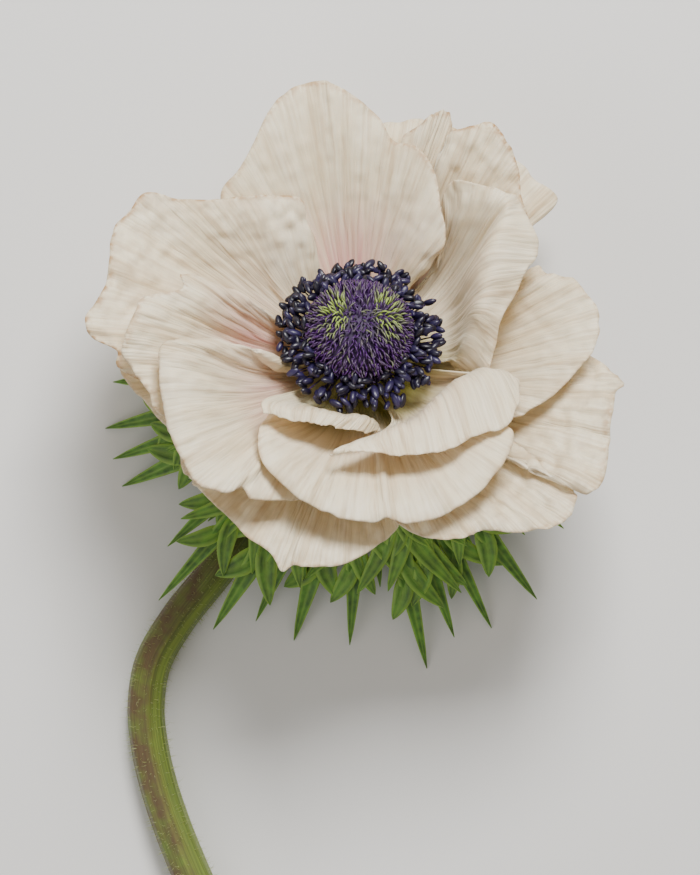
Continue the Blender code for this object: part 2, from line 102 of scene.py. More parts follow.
def petal(name, level, base, rim, foot=None, ridge=None, knots=None, hold=0.0):
    """One petal: its level and angles on the receptacle, its rim, and how it gets there."""
    return dict(name=name, level=level, base=base, rim=rim, foot=foot, ridge=ridge,
                knots=knots, hold=hold)


# Lowest first: each one lies over those before it.
PETALS = (
    petal("petal_back_top", 0, (24, 86),
          ((21, 9, -6), (28, 15.5, -2), (28.8, 19.6, 0), (33.7, 24.5, 3), (30.2, 28, 4),
           (26, 31.6, 5), (17, 36.4, 5.5), (10.5, 38.3, 6), (6.3, 38.7, 6),
           (2.4, 38, 4.5), (1, 33, 2), (0.5, 22, -3)), hold=-1),
    petal("petal_outer_bottom", 0, (224, 286),
          ((-24, -19, -5), (-30.6, -24.6, -2), (-28.4, -27.2, 0), (-23, -32.8, 2),
           (-17.3, -37.3, 3), (-15.2, -40.8, 3.5), (-13, -39.9, 3), (-9, -40, 3),
           (-3.5, -39.3, 2), (1.5, -36.6, 1), (5, -33, -1), (8, -25, -6)), hold=1.5),
    petal("petal_outer_left", 1, (176, 234),
          ((-28, 4, -4), (-39, 1, 0), (-43.2, -5.5, 5), (-39.8, -10.7, 5.5),
           (-35.6, -15, 5.5), (-33.7, -18.6, 5), (-32.2, -22.5, 4.5), (-30.2, -25.3, 4),
           (-24, -27, 0.5), (-16, -22, -4)), hold=0.5),
    petal("petal_outer_lower_right", 1, (276, 334),
          ((2.5, -26, -1), (5, -32.6, 3), (11, -35, 4), (16.5, -35.2, 4), (19.8, -33.7, 4),
           (25, -33.9, 4.5), (30.5, -33.6, 5), (34.4, -31.6, 5), (35.8, -28.6, 4.5),
           (34.6, -25.5, 2.5), (33, -19, -1), (25, -10, -5)), hold=1.0),
    petal("petal_outer_right", 2, (312, 362),
          ((24, -17, 1), (32, -25, 5), (34.9, -26.5, 6), (38.2, -27.3, 6.5),
           (40.9, -24.5, 6.5), (41.9, -19, 6.5), (42.5, -15.5, 7), (43.3, -10, 7),
           (44.6, -8.2, 7), (42.6, -5.8, 6.5), (38.8, -3, 5), (32, 1, 1), (20, 3, -5)),
          hold=1.0),
    petal("petal_narrow_top", 1, (52, 100),
          ((15, 14, -4), (17.5, 27, 4), (15.4, 34, 10.5), (14.7, 38.4, 14), (13.6, 40.1, 15),
           (12.1, 39.6, 15), (10.3, 38, 13.5), (6.6, 35.4, 10.5), (5, 29, 5.5), (4.5, 18, -2)),
          hold=-3),
    petal("petal_mottled", 2, (32, 84),
          ((20, 8, -3.5), (27, 15, 4.5), (28.3, 19.5, 10.5), (27.1, 24, 13), (26.3, 30, 15),
           (24.4, 34.4, 17), (21.6, 37.4, 18), (17.5, 36.7, 17.5), (13.9, 35.6, 16),
           (13.9, 32, 13.5), (14.8, 27, 10), (13.2, 18, 1.5), (10, 12, -4)), hold=-3),
    petal("petal_right", 3, (-26, 30),
          ((15.5, -9, -2), (24.4, -14, 5.5), (29, -12.3, 7.5), (33, -9.7, 9),
           (37.2, -5.2, 10.5), (39.5, -2, 11), (40.6, 1.8, 11.5), (39.4, 5.4, 11.5),
           (37.2, 8.9, 11.5), (34.3, 10.3, 11), (31.4, 10.8, 10), (30, 12.4, 9.5),
           (27.5, 11.5, 7.5), (20, 10, 0), (13.5, 7.5, -5)), hold=-1),
    petal("petal_right_rolled", 4, (4, 66),
          ((15.2, -5.2, -1), (20, -7, 6.5), (22.6, 0.2, 12.5), (26.7, 10.2, 15.5),
           (29.5, 15.2, 16.5), (26.5, 23, 18), (24, 25.1, 18.5), (18.4, 27, 17),
           (13.8, 26.3, 12.5), (12.6, 15, 1)),
          foot=((11.5, -4.5, -3.5), (13, -3.5, -3), (14, 0, -3), (14.2, 3, -3),
                (14, 5.5, -3), (13.6, 7.5, -3), (12.8, 9, -3.2), (11.6, 10, -3.6),
                (10.4, 10.5, -4), (9.3, 9.5, -4.4)),
          ridge=((14.4, -4.4, -1.5), (17, -3.5, 4), (18.8, 3, 12), (19.9, 8.6, 15.5),
                 (21.2, 15.5, 18), (23.2, 21.5, 19.5), (22, 22.6, 18), (17.2, 22.5, 13.5),
                 (14, 21, 8), (12.4, 12.5, -1)),
          knots=(0, 0.34, 0.74, 1)),
    petal("petal_top", 5, (62, 128),
          ((10.5, 12, 1), (13.6, 17.5, 7), (12.9, 23, 10), (11.5, 29.6, 12), (8.6, 33.2, 12.5),
           (4.3, 34.8, 12), (1.6, 39, 14), (-1.6, 41.9, 16), (-5.5, 44.3, 17), (-9, 45, 17),
           (-13.8, 43.3, 16), (-17.3, 39.5, 15), (-19.8, 34.5, 13), (-22.5, 30, 11),
           (-26, 25, 8.5), (-23, 19, 4.5), (-15, 12, -1)), hold=-4),
    petal("petal_upper_left", 6, (122, 186),
          ((-9.6, 12.5, 0), (-10.2, 19.5, 5), (-12.5, 24.6, 9), (-19, 24.9, 10.5),
           (-26, 24.5, 11), (-32, 24.1, 11.5), (-38.7, 25.2, 12.5), (-41.6, 22, 12),
           (-44.2, 19.3, 12), (-45.1, 13.5, 11.5), (-45.9, 8.3, 10.5), (-49, 3.3, 11),
           (-47.8, -0.2, 10), (-44, -2.6, 8.5), (-43.4, -5.5, 7), (-37, -8, 3.5),
           (-22, -5, -2)), hold=-2.5),
    petal("petal_left", 7, (152, 206),
          ((-13.6, 1.2, -1), (-18.2, 3.8, 3.5), (-22.3, 7.4, 8), (-26.5, 9.3, 11.5),
           (-32.3, 11, 15.5), (-32.6, 8.2, 15), (-38.9, 6.6, 16), (-40.4, 3.6, 16),
           (-42.1, 0, 15), (-42.3, -3.2, 14), (-40.7, -6.2, 12.5), (-37.8, -9.8, 10.5),
           (-35.4, -13.5, 8.5), (-24, -12, 1.5)), hold=-1.5),
    petal("petal_front_left", 8, (182, 244),
          ((-12.4, -6.6, -0.5), (-17, -5.3, 3.5), (-22, -1.9, 8.5), (-28, -0.3, 13),
           (-33.3, -0.6, 16.5), (-35.9, -1.6, 17), (-36.2, -6, 16), (-35.7, -11, 14.5),
           (-34.2, -16.5, 13), (-32.2, -21.5, 12), (-29.4, -25.5, 11),
           (-25, -27.3, 10.5), (-21.8, -26, 10), (-20.2, -28.3, 9), (-15, -28.7, 7.5),
           (-10, -27.5, 5), (-5, -20, -1.5)), hold=3.0),
    petal("petal_bottom_cup", 9, (240, 322),
          ((-16.8, -13.2, 6), (-19, -16.5, 9.5), (-19, -20.3, 10.8), (-16.5, -23.7, 11),
           (-12, -28, 10.5), (-8.6, -30, 10), (-4.4, -31.8, 9.5), (1, -32.5, 9),
           (3.3, -31.7, 9), (5.8, -32.5, 9), (11, -31.8, 9), (15.2, -30.1, 9),
           (19.5, -26.5, 9.5), (23.2, -21.6, 10), (24.8, -17.4, 10), (22, -14, 8)),
          hold=4.0),
    petal("petal_inner_strip", 10, (228, 284),
          ((-18.2, -13.2, 11.5), (-14, -14.3, 11.3), (-9.5, -15, 10.8), (-6.5, -15.6, 10.3),
           (-3.2, -16.3, 9.5), (0, -16.8, 8.5), (2.2, -16.6, 7.5)),
          foot=((-12.5, -9.3, 1), (-10.6, -11, 0), (-8, -12.2, -1), (-5.4, -13, -1.5),
                (-2.8, -13.4, -1.5), (-0.4, -13.7, -1.5), (1, -13.8, -1.5)),
          ridge=((-18.5, -11.6, 11), (-14, -12.8, 11), (-8.8, -13.3, 10), (-4.6, -14.1, 9.3),
                 (-1.4, -14.2, 8), (1, -15.2, 7.5), (2, -16, 7)),
          knots=(0, 0.42, 0.86, 1)),
    petal("petal_inner_bright", 11, (276, 338),
          ((-6.6, -20.6, 12), (-1, -20.2, 12), (4.5, -20.6, 12), (9.5, -20.4, 12),
           (14.5, -19.3, 12), (19.5, -17, 12), (24.2, -15.4, 12), (26.1, -11.5, 12),
           (26.3, -8.6, 11.8)),
          foot=((4.2, -15, 2), (4.4, -14.9, 1), (5.2, -14.6, -0.5), (7.4, -13.4, -1.5),
                (10.2, -11.2, -1.5), (12.8, -8.8, -1.5), (14.6, -7.4, -0.5), (15.8, -6.7, 2),
                (16.8, -6.4, 4.5)),
          ridge=((-5.2, -19.6, 11.8), (-1.5, -18.5, 11), (3.5, -16.7, 10), (8.5, -14.8, 9.5),
                 (12.3, -11.2, 9.5), (16.5, -8.2, 10), (20.5, -6.5, 10.5),
                 (23.2, -6.2, 11), (25.5, -7.2, 11.3)),
          knots=(0, 0.36, 0.72, 1)),
)


# The stem's centre line from the ruff to the cut end, and its radius along it.
STEM_BELOW = ((-2.9, -9.6, 9.6), (-6.2, -14.2, 6.2), (-12, -21.5, 4.5), (-20, -32, 3.7),
              (-27.5, -42, 3.35), (-34.2, -50.5, 3.3), (-38.4, -58, 3.3), (-39.6, -66, 3.35),
              (-38.9, -73, 3.4), (-37.3, -80, 3.45), (-35, -87, 3.55), (-32.2, -94, 3.65),
              (-29, -101, 3.7), (-25.4, -108, 3.75), (-21.6, -115, 3.75),
              (-18, -122, 3.75), (-15, -129, 3.75))

# Bracts: tips and notches of each, x, y and height over the surface.
BRACTS = (
    ("bract_left", (148, 240), 2.5,
     ((-20, 6, 9), (-34, 8, 2.2), (-24, 0, 9), (-45.6, -7.7, 1.2), (-27, -6, 9),
      (-47, -16, 0.35), (-28, -13, 9), (-45.6, -21.5, 1.5), (-28, -17, 9.5),
      (-44, -26.4, 0.35), (-26, -20, 10.5), (-35.6, -37, 9.4), (-22, -25, 11.5),
      (-37.2, -46.6, 8.9), (-17, -27, 12))),
    ("bract_lower", (250, 330), 2.5,
     ((-13, -30, 11.5), (-27.5, -51.8, 8.7), (-12, -32, 8), (-20, -50.5, 1.5),
      (-9, -33, 7.5), (-13.2, -54, 0.35), (-5, -34, 7.5), (-3.2, -54.8, 1.2),
      (1, -34, 7.5), (10.6, -59, 0.35), (6, -34, 7.5), (15.5, -53.4, 2), (10, -32, 7.5),
      (22.2, -51.8, 0.35), (14, -30, 8), (30.3, -46.6, 1.5), (17, -25, 8))),
    ("bract_right", (-20, 92), -6,
     ((15, -19, 8), (28, -35, 7), (20, -19, 8), (34.8, -33.8, 11), (21, -14, 8),
      (34, -17, 3), (22, -6, 4.5), (37, -4, 0.35), (21, 2, 3), (31, 10, 0.35), (17, 8, 2.6),
      (22, 22, 0.5), (11, 13, 2.4), (8, 29, 0.35), (2, 14, 2.4), (-8, 26, 0.7),
      (-6, 13, 3))),
)


def unit(v):
    return v / np.linalg.norm(v)


AXIS = unit(DISC_AXIS)
SIDE = unit(np.array([1.0, 0.0, 0.0]) - AXIS[0] * AXIS)
UP = np.cross(AXIS, SIDE)


def on_disc(radius, angle, height):
    """A point at a radius, an angle in degrees and a height along the flower's axis."""
    turn = np.radians(angle)
    level = np.cos(turn)[..., None] * SIDE + np.sin(turn)[..., None] * UP
    radius, height = np.asarray(radius, float), np.asarray(height, float)
    return DISC_CENTRE + radius[..., None] * level + height[..., None] * AXIS


def risen(points):
    """(x, y, rise) as (x, y, z)."""
    points = np.array(points, float)
    dx, dy = points[..., 0] - DISC_CENTRE[0], points[..., 1] - DISC_CENTRE[1]
    points[..., 2] = DISC_CENTRE[2] + (points[..., 2] - AXIS[0] * dx - AXIS[1] * dy) / AXIS[2]
    return points


def through(points, at, knots=None):
    """A smooth curve through the points, at each knot; straight-ish where they are straight."""
    points = np.asarray(points, float)
    count = len(points)
    knots = np.linspace(0, 1, count) if knots is None else np.asarray(knots, float)
    steps = np.diff(knots).reshape((-1,) + (1,) * (points.ndim - 1))
    slopes = np.diff(points, axis=0) / steps
    tangents = np.concatenate([slopes[:1], (slopes[:-1] + slopes[1:]) / 2, slopes[-1:]])
    at = np.asarray(at, float)
    cell = np.clip(np.searchsorted(knots, at, "right") - 1, 0, count - 2)
    shape = (-1,) + (1,) * (points.ndim - 1)
    wide = (knots[cell + 1] - knots[cell]).reshape(shape)
    t = (at - knots[cell]).reshape(shape) / wide
    a, b = points[cell], points[cell + 1]
    ta, tb = tangents[cell] * wide, tangents[cell + 1] * wide
    return ((2 * t**3 - 3 * t**2 + 1) * a + (t**3 - 2 * t**2 + t) * ta
            + (3 * t**2 - 2 * t**3) * b + (t**3 - t**2) * tb)


def petal_points(spec, us, vs):
    """The petal's middle surface: u runs across it from one side to the other, v out to the rim."""
    angles = spec["base"][0] + (spec["base"][1] - spec["base"][0]) * us
    height = BASE_LOW + BASE_STEP * spec["level"]
    base = on_disc(np.full(len(us), BASE_RADIUS), angles, np.full(len(us), height))
    rim = risen(through(spec["rim"], us))
    if spec["ridge"]:
        foot = risen(through(spec["foot"], us))
        ridge = risen(through(spec["ridge"], us))
        return through(np.stack([base, foot, ridge, rim]), vs, spec["knots"]).swapaxes(0, 1)
    outward = on_disc(np.full(len(us), BASE_RADIUS + 1), angles, np.full(len(us), height)) - base
    span = np.linalg.norm(rim - base, axis=1)[:, None]
    first = base + 0.42 * span * outward
    second = base + 0.66 * (rim - base)
    second[:, 2] = rim[:, 2] + (spec["hold"] - 0.463 * (second[:, 1] - rim[:, 1]))
    v = vs[None, :, None]
    b, p, q, r = (row[:, None, :] for row in (base, first, second, rim))
    return (1 - v) ** 3 * b + 3 * (1 - v) ** 2 * v * p + 3 * (1 - v) * v**2 * q + v**3 * r


def normals_of(grid):
    """Unit normals of a grid of points, facing up."""
    du, dv = np.gradient(grid, axis=0), np.gradient(grid, axis=1)
    across = np.cross(du, dv)
    across /= np.maximum(np.linalg.norm(across, axis=2, keepdims=True), 1e-9)
    return across if across[..., 2].mean() > 0 else -across


def finer(grid, parts):
    """Points spread over every cell of a grid, with the cell each one is in."""
    nu, nv = grid.shape[0] - 1, grid.shape[1] - 1
    s = (np.arange(nu * parts) + 0.5) / parts
    t = (np.arange(nv * parts) + 0.5) / parts
    i, j = s.astype(int), t.astype(int)
    fs, ft = (s - i)[:, None, None], (t - j)[None, :, None]
    a, b = grid[i][:, j], grid[i + 1][:, j]
    c, d = grid[i][:, j + 1], grid[i + 1][:, j + 1]
    points = (1 - fs) * (1 - ft) * a + fs * (1 - ft) * b + (1 - fs) * ft * c + fs * ft * d
    return points, i, j


def spread(field):
    """The largest of each cell and the eight round it."""
    wide = np.pad(field, 1, mode="edge")
    parts = [wide[i:i + field.shape[0], j:j + field.shape[1]] for i in range(3) for j in range(3)]
    return np.max(parts, axis=0)


def settled(grids, thick, gap, cell=0.4, parts=12, turns=8):
    """From the top petal down, presses each grid clear of all those over it; base rows stay."""
    size = int(130 / cell)
    under = np.full((size, size), 1e3)

    def offsets(grid):
        points, i, j = finer(grid, parts)
        lean = np.clip(normals_of(points)[..., 2], 0.3, 1)
        room = gap * np.interp(j, [0, 3], [0.55, 1])
        x = np.clip(((points[..., 0] + 62) / cell).astype(int), 0, size - 1)
        y = np.clip(((points[..., 1] + 62) / cell).astype(int), 0, size - 1)
        return points[..., 2], (thick + room) / 2 / lean, x, y, i, j

    done = []
    for grid in grids[::-1]:
        grid = grid.copy()
        for _ in range(2):
            z, reach, x, y, i, j = offsets(grid)
            need = np.maximum(z + reach + spread(-under)[x, y], 0)
            drop = np.zeros(grid.shape[:2])
            for di in (0, 1):
                for dj in (0, 1):
                    np.maximum.at(drop, (i[:, None] + di, j[None, :] + dj), need)
            drop[:, 0] = 0
            least = drop.copy()
            for _ in range(turns):
                wide = np.pad(drop, 1, mode="edge")
                mean = (wide[:-2, 1:-1] + wide[2:, 1:-1] + wide[1:-1, :-2] + wide[1:-1, 2:]) / 4
                drop = np.maximum(least, mean)
                drop[:, 0] = 0
            grid[..., 2] -= drop
        z, reach, x, y, _, _ = offsets(grid)
        np.minimum.at(under, (x, y), z - reach)
        done.append(grid)
    return done[::-1]


def carried(centres):
    """Frames carried along a line without twisting."""
    along = np.gradient(centres, axis=0)
    along /= np.linalg.norm(along, axis=1, keepdims=True)
    a = unit(np.cross(along[0], [0.3, 1, 0.2]))
    frames = []
    for step in along:
        a = unit(a - a.dot(step) * step)
        frames.append((a, np.cross(step, a)))
    return frames


def stem_line(count):
    top = [DISC_CENTRE + AXIS * h for h in (RECEPTACLE_TOP, -4, -8, -11, -14)]
    line = np.array(top + list(STEM_BELOW))
    lengths = np.concatenate([[0], np.cumsum(np.linalg.norm(np.diff(line, axis=0), axis=1))])
    at = np.linspace(0, 1, count) ** 1.12
    return through(line, at, lengths / lengths[-1]), at * lengths[-1]


def linear(colour):
    """A six-digit sRGB hex colour as linear red, green and blue."""
    values = [c / 255 for c in bytes.fromhex(colour)]
    return tuple(c / 12.92 if c <= 0.04045 else ((c + 0.055) / 1.055) ** 2.4 for c in values)


def smooth(low, high, value):
    """0 below low, 1 above high, and t*t*(3 - 2t) between."""
    t = np.clip((value - low) / (high - low), 0, 1)
    return t * t * (3 - 2 * t)


def noise(x, y, seed):
    """Smooth noise from -1 to 1: random values on whole numbers, blended by t*t*(3 - 2t)."""
    table = np.random.default_rng(seed).uniform(-1, 1, (64, 64))
    i, j = np.floor(x).astype(int), np.floor(y).astype(int)
    s, t = x - i, y - j
    s, t = s * s * (3 - 2 * s), t * t * (3 - 2 * t)
    a, b = table[i % 64, j % 64], table[(i + 1) % 64, j % 64]
    c, d = table[i % 64, (j + 1) % 64], table[(i + 1) % 64, (j + 1) % 64]
    return (a * (1 - s) + b * s) * (1 - t) + (c * (1 - s) + d * s) * t


# How each petal is finished: height of the waves at its rim, depth of its creases and of its
# crumpling in millimetres, then how much blush, thin grey tissue and tan edge it shows.
PETAL_LOOKS = {
    "petal_back_top": (0.5, 0.10, 0.10, 0.10, 0.1, 0.2),
    "petal_outer_bottom": (0.5, 0.16, 0.16, 0.00, 0.5, 0.5),
    "petal_outer_left": (0.5, 0.14, 0.12, 0.15, 0.3, 0.4),
    "petal_outer_lower_right": (0.6, 0.22, 0.28, 0.00, 0.8, 0.4),
    "petal_outer_right": (0.7, 0.22, 0.30, 0.00, 0.9, 0.5),
    "petal_narrow_top": (0.4, 0.14, 0.08, 0.20, 0.2, 0.9),
    "petal_mottled": (0.5, 0.18, 0.20, 0.50, 0.6, 1.0),
    "petal_right": (0.5, 0.18, 0.14, 0.00, 0.4, 0.5),
    "petal_right_rolled": (0.4, 0.20, 0.08, 0.10, 0.1, 0.3),
    "petal_top": (0.5, 0.18, 0.12, 0.80, 0.3, 0.6),
    "petal_upper_left": (0.7, 0.20, 0.24, 0.20, 0.8, 0.9),
    "petal_left": (0.5, 0.18, 0.14, 0.70, 0.1, 0.6),
    "petal_front_left": (0.5, 0.18, 0.12, 0.50, 0.1, 0.7),
    "petal_bottom_cup": (0.4, 0.16, 0.10, 0.15, 0.0, 0.4),
    "petal_inner_strip": (0.2, 0.08, 0.04, 0.00, 0.0, 0.1),
    "petal_inner_bright": (0.3, 0.12, 0.06, 0.10, 0.0, 0.3),
}


def between(field, columns, rows):
    """A small grid of numbers spread evenly over a larger one, straight between them."""
    last_u, last_v = field.shape[0] - 1, field.shape[1] - 1
    us, vs = np.linspace(0, last_u, columns), np.linspace(0, last_v, rows)
    i, j = np.minimum(us.astype(int), last_u - 1), np.minimum(vs.astype(int), last_v - 1)
    s, t = (us - i)[:, None], (vs - j)[None, :]
    a, b = field[i][:, j], field[i + 1][:, j]
    c, d = field[i][:, j + 1], field[i + 1][:, j + 1]
    return (a * (1 - s) + b * s) * (1 - t) + (c * (1 - s) + d * s) * t


def petal_grids(columns, rows):
    """Every petal as a fine grid: the solids' own grids, then waves, creases and crumpling."""
    us, vs = np.linspace(0, 1, SOLID_COLUMNS + 1), np.linspace(0, 1, SOLID_ROWS + 1)
    plain = [petal_points(spec, us, vs) for spec in PETALS]
    pressed = settled(plain, SOLID_THICK, SOLID_GAP)
    fine_u, fine_v = np.linspace(0, 1, columns), np.linspace(0, 1, rows)
    grids = []
    for number, spec in enumerate(PETALS):
        grid = petal_points(spec, fine_u, fine_v)
        grid[..., 2] -= between(plain[number][..., 2] - pressed[number][..., 2], columns, rows)
        grids.append(wrinkled(grid, fine_u, fine_v, spec["name"], number))
    return settled(grids, sizes().petal_thickness / MM, SKIN_GAP, parts=2, turns=3)


def wrinkled(grid, us, vs, name, seed):
    """The grid moved along its normals.

    h = wave * n1(7u, 2v) * s(.72, 1, v) + crease * (n2(26u, 3v) + n3(54u, 5v) / 2) * s(.1, .5, v)
        + crumple * n4(x / 1.7, y / 1.7) * s(.35, .8, v); n1 to n4 are noise and s is smooth.
    The rim also moves in and out by up to half a millimetre.
    """
    wave, crease, crumple = PETAL_LOOKS[name][:3]
    u, v = np.meshgrid(us, vs, indexing="ij")
    rim = smooth(0.72, 1.0, v)
    height = wave * noise(7 * u + 3, 2 * v, 10 + seed) * rim
    folds = noise(26 * u + 0.8 * noise(5 * u, 4 * v, 70 + seed), 3 * v, 30 + seed)
    fine = noise(54 * u + noise(6 * u, 6 * v, 75 + seed), 5 * v, 50 + seed)
    height += sizes().wrinkles * crease * (folds + 0.5 * fine) * smooth(0.1, 0.5, v)
    crumple_noise = noise(grid[..., 0] / 1.7 + 20, grid[..., 1] / 1.7 + 20, 90 + seed)
    height += sizes().wrinkles * crumple * crumple_noise * smooth(0.35, 0.8, v)
    moved = grid + normals_of(grid) * height[..., None]
    out = np.gradient(grid, axis=1)
    out /= np.maximum(np.linalg.norm(out, axis=2, keepdims=True), 1e-9)
    nibble = 0.32 * noise(16 * u, 0 * v, 110 + seed) + 0.16 * noise(41 * u, 0 * v, 130 + seed)
    return moved + out * (nibble * smooth(0.8, 1.0, v))[..., None]


def closed_sheet(grid, thick):
    """The thin closed sheet about a grid: points, quads facing outwards, and each point's u and v."""
    nu, nv = grid.shape[:2]
    across = normals_of(grid)
    middle = grid[nu // 2:nu // 2 + 2, nv // 2:nv // 2 + 2]
    made = np.cross(middle[1, 0] - middle[0, 0], middle[0, 1] - middle[0, 0])
    edge = np.full((nu, nv), RIM_THINNING)
    edge[1:-1, 1:-1] = 1
    offset = across * (thick / 2 * edge)[..., None]
    index = np.arange(nu * nv).reshape(nu, nv)
    corners = [index[:-1, :-1], index[1:, :-1], index[1:, 1:], index[:-1, 1:]]
    cells = np.stack(corners, -1).reshape(-1, 4)
    under = nu * nv
    ring = np.concatenate([index[:, 0], index[-1, 1:], index[-2::-1, -1], index[0, -2:0:-1]])
    following = np.roll(ring, -1)
    sides = np.stack([following, ring, ring + under, following + under], -1)
    faces = np.concatenate([cells, cells[:, ::-1] + under, sides])
    if np.dot(made, across[nu // 2, nv // 2]) < 0:
        faces = faces[:, ::-1]
    points = np.concatenate([(grid + offset).reshape(-1, 3), (grid - offset).reshape(-1, 3)])
    u, v = np.meshgrid(np.linspace(0, 1, nu), np.linspace(0, 1, nv), indexing="ij")
    flat = np.stack([u.ravel(), v.ravel()], -1)
    return points, faces, np.concatenate([flat, flat])


def piece(name, points, faces, finish, uv=None, fields=None):
    """A named smooth mesh of points in millimetres, with its UV map and point attributes."""
    mesh = bpy.data.meshes.new(name)
    mesh.from_pydata(((np.asarray(points) - ORIGIN) * MM).tolist(), [], faces.tolist())
    if uv is not None:
        corners = np.empty(len(mesh.loops), np.int32)
        mesh.loops.foreach_get("vertex_index", corners)
        layer = mesh.uv_layers.new(name="UVMap")
        layer.data.foreach_set("uv", uv[corners].astype(np.float32).ravel())
    for key, values in (fields or {}).items():
        held = mesh.attributes.new(key, "FLOAT", "POINT")
        held.data.foreach_set("value", np.asarray(values, np.float32))
    mesh.polygons.foreach_set("use_smooth", np.ones(len(mesh.polygons), bool))
    mesh.materials.append(finish)
    obj = bpy.data.objects.new(name, mesh)
    bpy.context.scene.collection.objects.link(obj)
    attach(obj, "root")
    return obj


def frames_along(directions, seed):
    """An upright frame for each direction: two sideways axes at a random turn, then the direction."""
    directions = directions / np.linalg.norm(directions, axis=1, keepdims=True)
    turns = np.random.default_rng(seed).normal(size=directions.shape)
    a = np.cross(directions, turns)
    a /= np.linalg.norm(a, axis=1, keepdims=True)
    return np.stack([a, np.cross(directions, a), directions], 1)


def copies(shape, faces, places, frames):
    """The small shape repeated: each copy's points are place + point times frame."""
    points = places[:, None, :] + np.einsum("nj,kji->kni", shape, frames)
    steps = (np.arange(len(places)) * len(shape))[:, None, None]
    return points.reshape(-1, 3), (faces[None] + steps).reshape(-1, faces.shape[1])


def rings_shape(radii, heights, sides):
    """A closed lathe of quads about z: radii and heights up it; its ends are drawn to points."""
    turn = np.arange(sides) * 2 * np.pi / sides
    circle = np.stack([np.cos(turn), np.sin(turn)], -1)
    rows = [np.column_stack([circle * r, np.full(sides, h)]) for r, h in zip(radii, heights)]
    return np.concatenate(rows), ring_faces(len(rows), sides)


def ring_faces(count, sides):
    """Quads between count rings of sides points, each facing outwards."""
    index = np.arange(count * sides).reshape(count, sides)
    beside = np.roll(index, -1, axis=1)
    return np.stack([index[:-1], beside[:-1], beside[1:], index[1:]], -1).reshape(-1, 4)


def threads(lines, radii, sides):
    """Many thin tubes: lines is (how many, points each, 3), radii is (points each,)."""
    count, steps = lines.shape[:2]
    along = np.gradient(lines, axis=1)
    along /= np.maximum(np.linalg.norm(along, axis=2, keepdims=True), 1e-9)
    a = np.cross(along, np.array([0.31, 0.27, 0.91]))
    a /= np.maximum(np.linalg.norm(a, axis=2, keepdims=True), 1e-9)
    b = np.cross(along, a)
    turn = np.arange(sides) * 2 * np.pi / sides
    offset = (a[:, :, None] * np.cos(turn)[:, None] + b[:, :, None] * np.sin(turn)[:, None])
    points = lines[:, :, None] + offset * np.asarray(radii)[None, :, None, None]
    faces = ring_faces(steps, sides)
    starts = (np.arange(count) * steps * sides)[:, None, None]
    return points.reshape(-1, 3), (faces[None] + starts).reshape(-1, 4)


def add_node(tree, kind, inputs=(), **settings):
    """Adds a node with its settings; inputs pairs a socket's name with a value or an output."""
    made = tree.nodes.new(kind)
    for key, value in settings.items():
        setattr(made, key, value)
    for key, value in dict(inputs).items():
        if isinstance(value, bpy.types.NodeSocket):
            tree.links.new(value, made.inputs[key])
        else:
            made.inputs[key].default_value = value
    return made


def mixed(tree, factor, first, second):
    """The colour that lies factor of the way from first to second."""
    ends = [end if isinstance(end, bpy.types.NodeSocket) else (*end, 1) for end in (first, second)]
    made = add_node(tree, "ShaderNodeMix", {0: factor, 6: ends[0], 7: ends[1]}, data_type="RGBA")
    return made.outputs[2]


def field(tree, name):
    """The value that a piece carries at each point under this name."""
    return add_node(tree, "ShaderNodeAttribute", attribute_name=name).outputs["Fac"]


def ranged(tree, value, low, high, least=0.0, most=1.0):
    """value mapped from low..high to least..most, and held there beyond."""
    ends = {"Value": value, "From Min": low, "From Max": high, "To Min": least, "To Max": most}
    return add_node(tree, "ShaderNodeMapRange", ends).outputs["Result"]


def times(tree, first, second):
    """The two values multiplied."""
    return add_node(tree, "ShaderNodeMath", {0: first, 1: second}, operation="MULTIPLY").outputs[0]


def streaks(tree, across, along, detail=3.0):
    """Noise drawn out along v: across cycles over the width and along over the length."""
    uv = add_node(tree, "ShaderNodeUVMap", uv_map="UVMap").outputs["UV"]
    spread_uv = add_node(tree, "ShaderNodeMapping", {"Vector": uv, "Scale": (across, along, 1)})
    wanted = {"Vector": spread_uv.outputs["Vector"], "Scale": 1.0, "Detail": detail, "Roughness": 0.6}
    return add_node(tree, "ShaderNodeTexNoise", wanted).outputs["Fac"]


def grains(tree, size_mm, detail=2.0):
    """Noise with grains of about this size on the object."""
    at = add_node(tree, "ShaderNodeTexCoord").outputs["Object"]
    wanted = {"Vector": at, "Scale": 1 / (size_mm * MM), "Detail": detail}
    return add_node(tree, "ShaderNodeTexNoise", wanted).outputs["Fac"]


def new_finish(name):
    """A new material, its node tree and its shader."""
    made = bpy.data.materials.new(name)
    made.use_nodes = True
    return made, made.node_tree, made.node_tree.nodes["Principled BSDF"]


def raised(tree, shader, height, depth_mm, strength=1.0):
    """Gives the shader a bump of this depth."""
    wanted = {"Height": height, "Distance": depth_mm * MM, "Strength": strength}
    bump = add_node(tree, "ShaderNodeBump", wanted)
    tree.links.new(bump.outputs["Normal"], shader.inputs["Normal"])


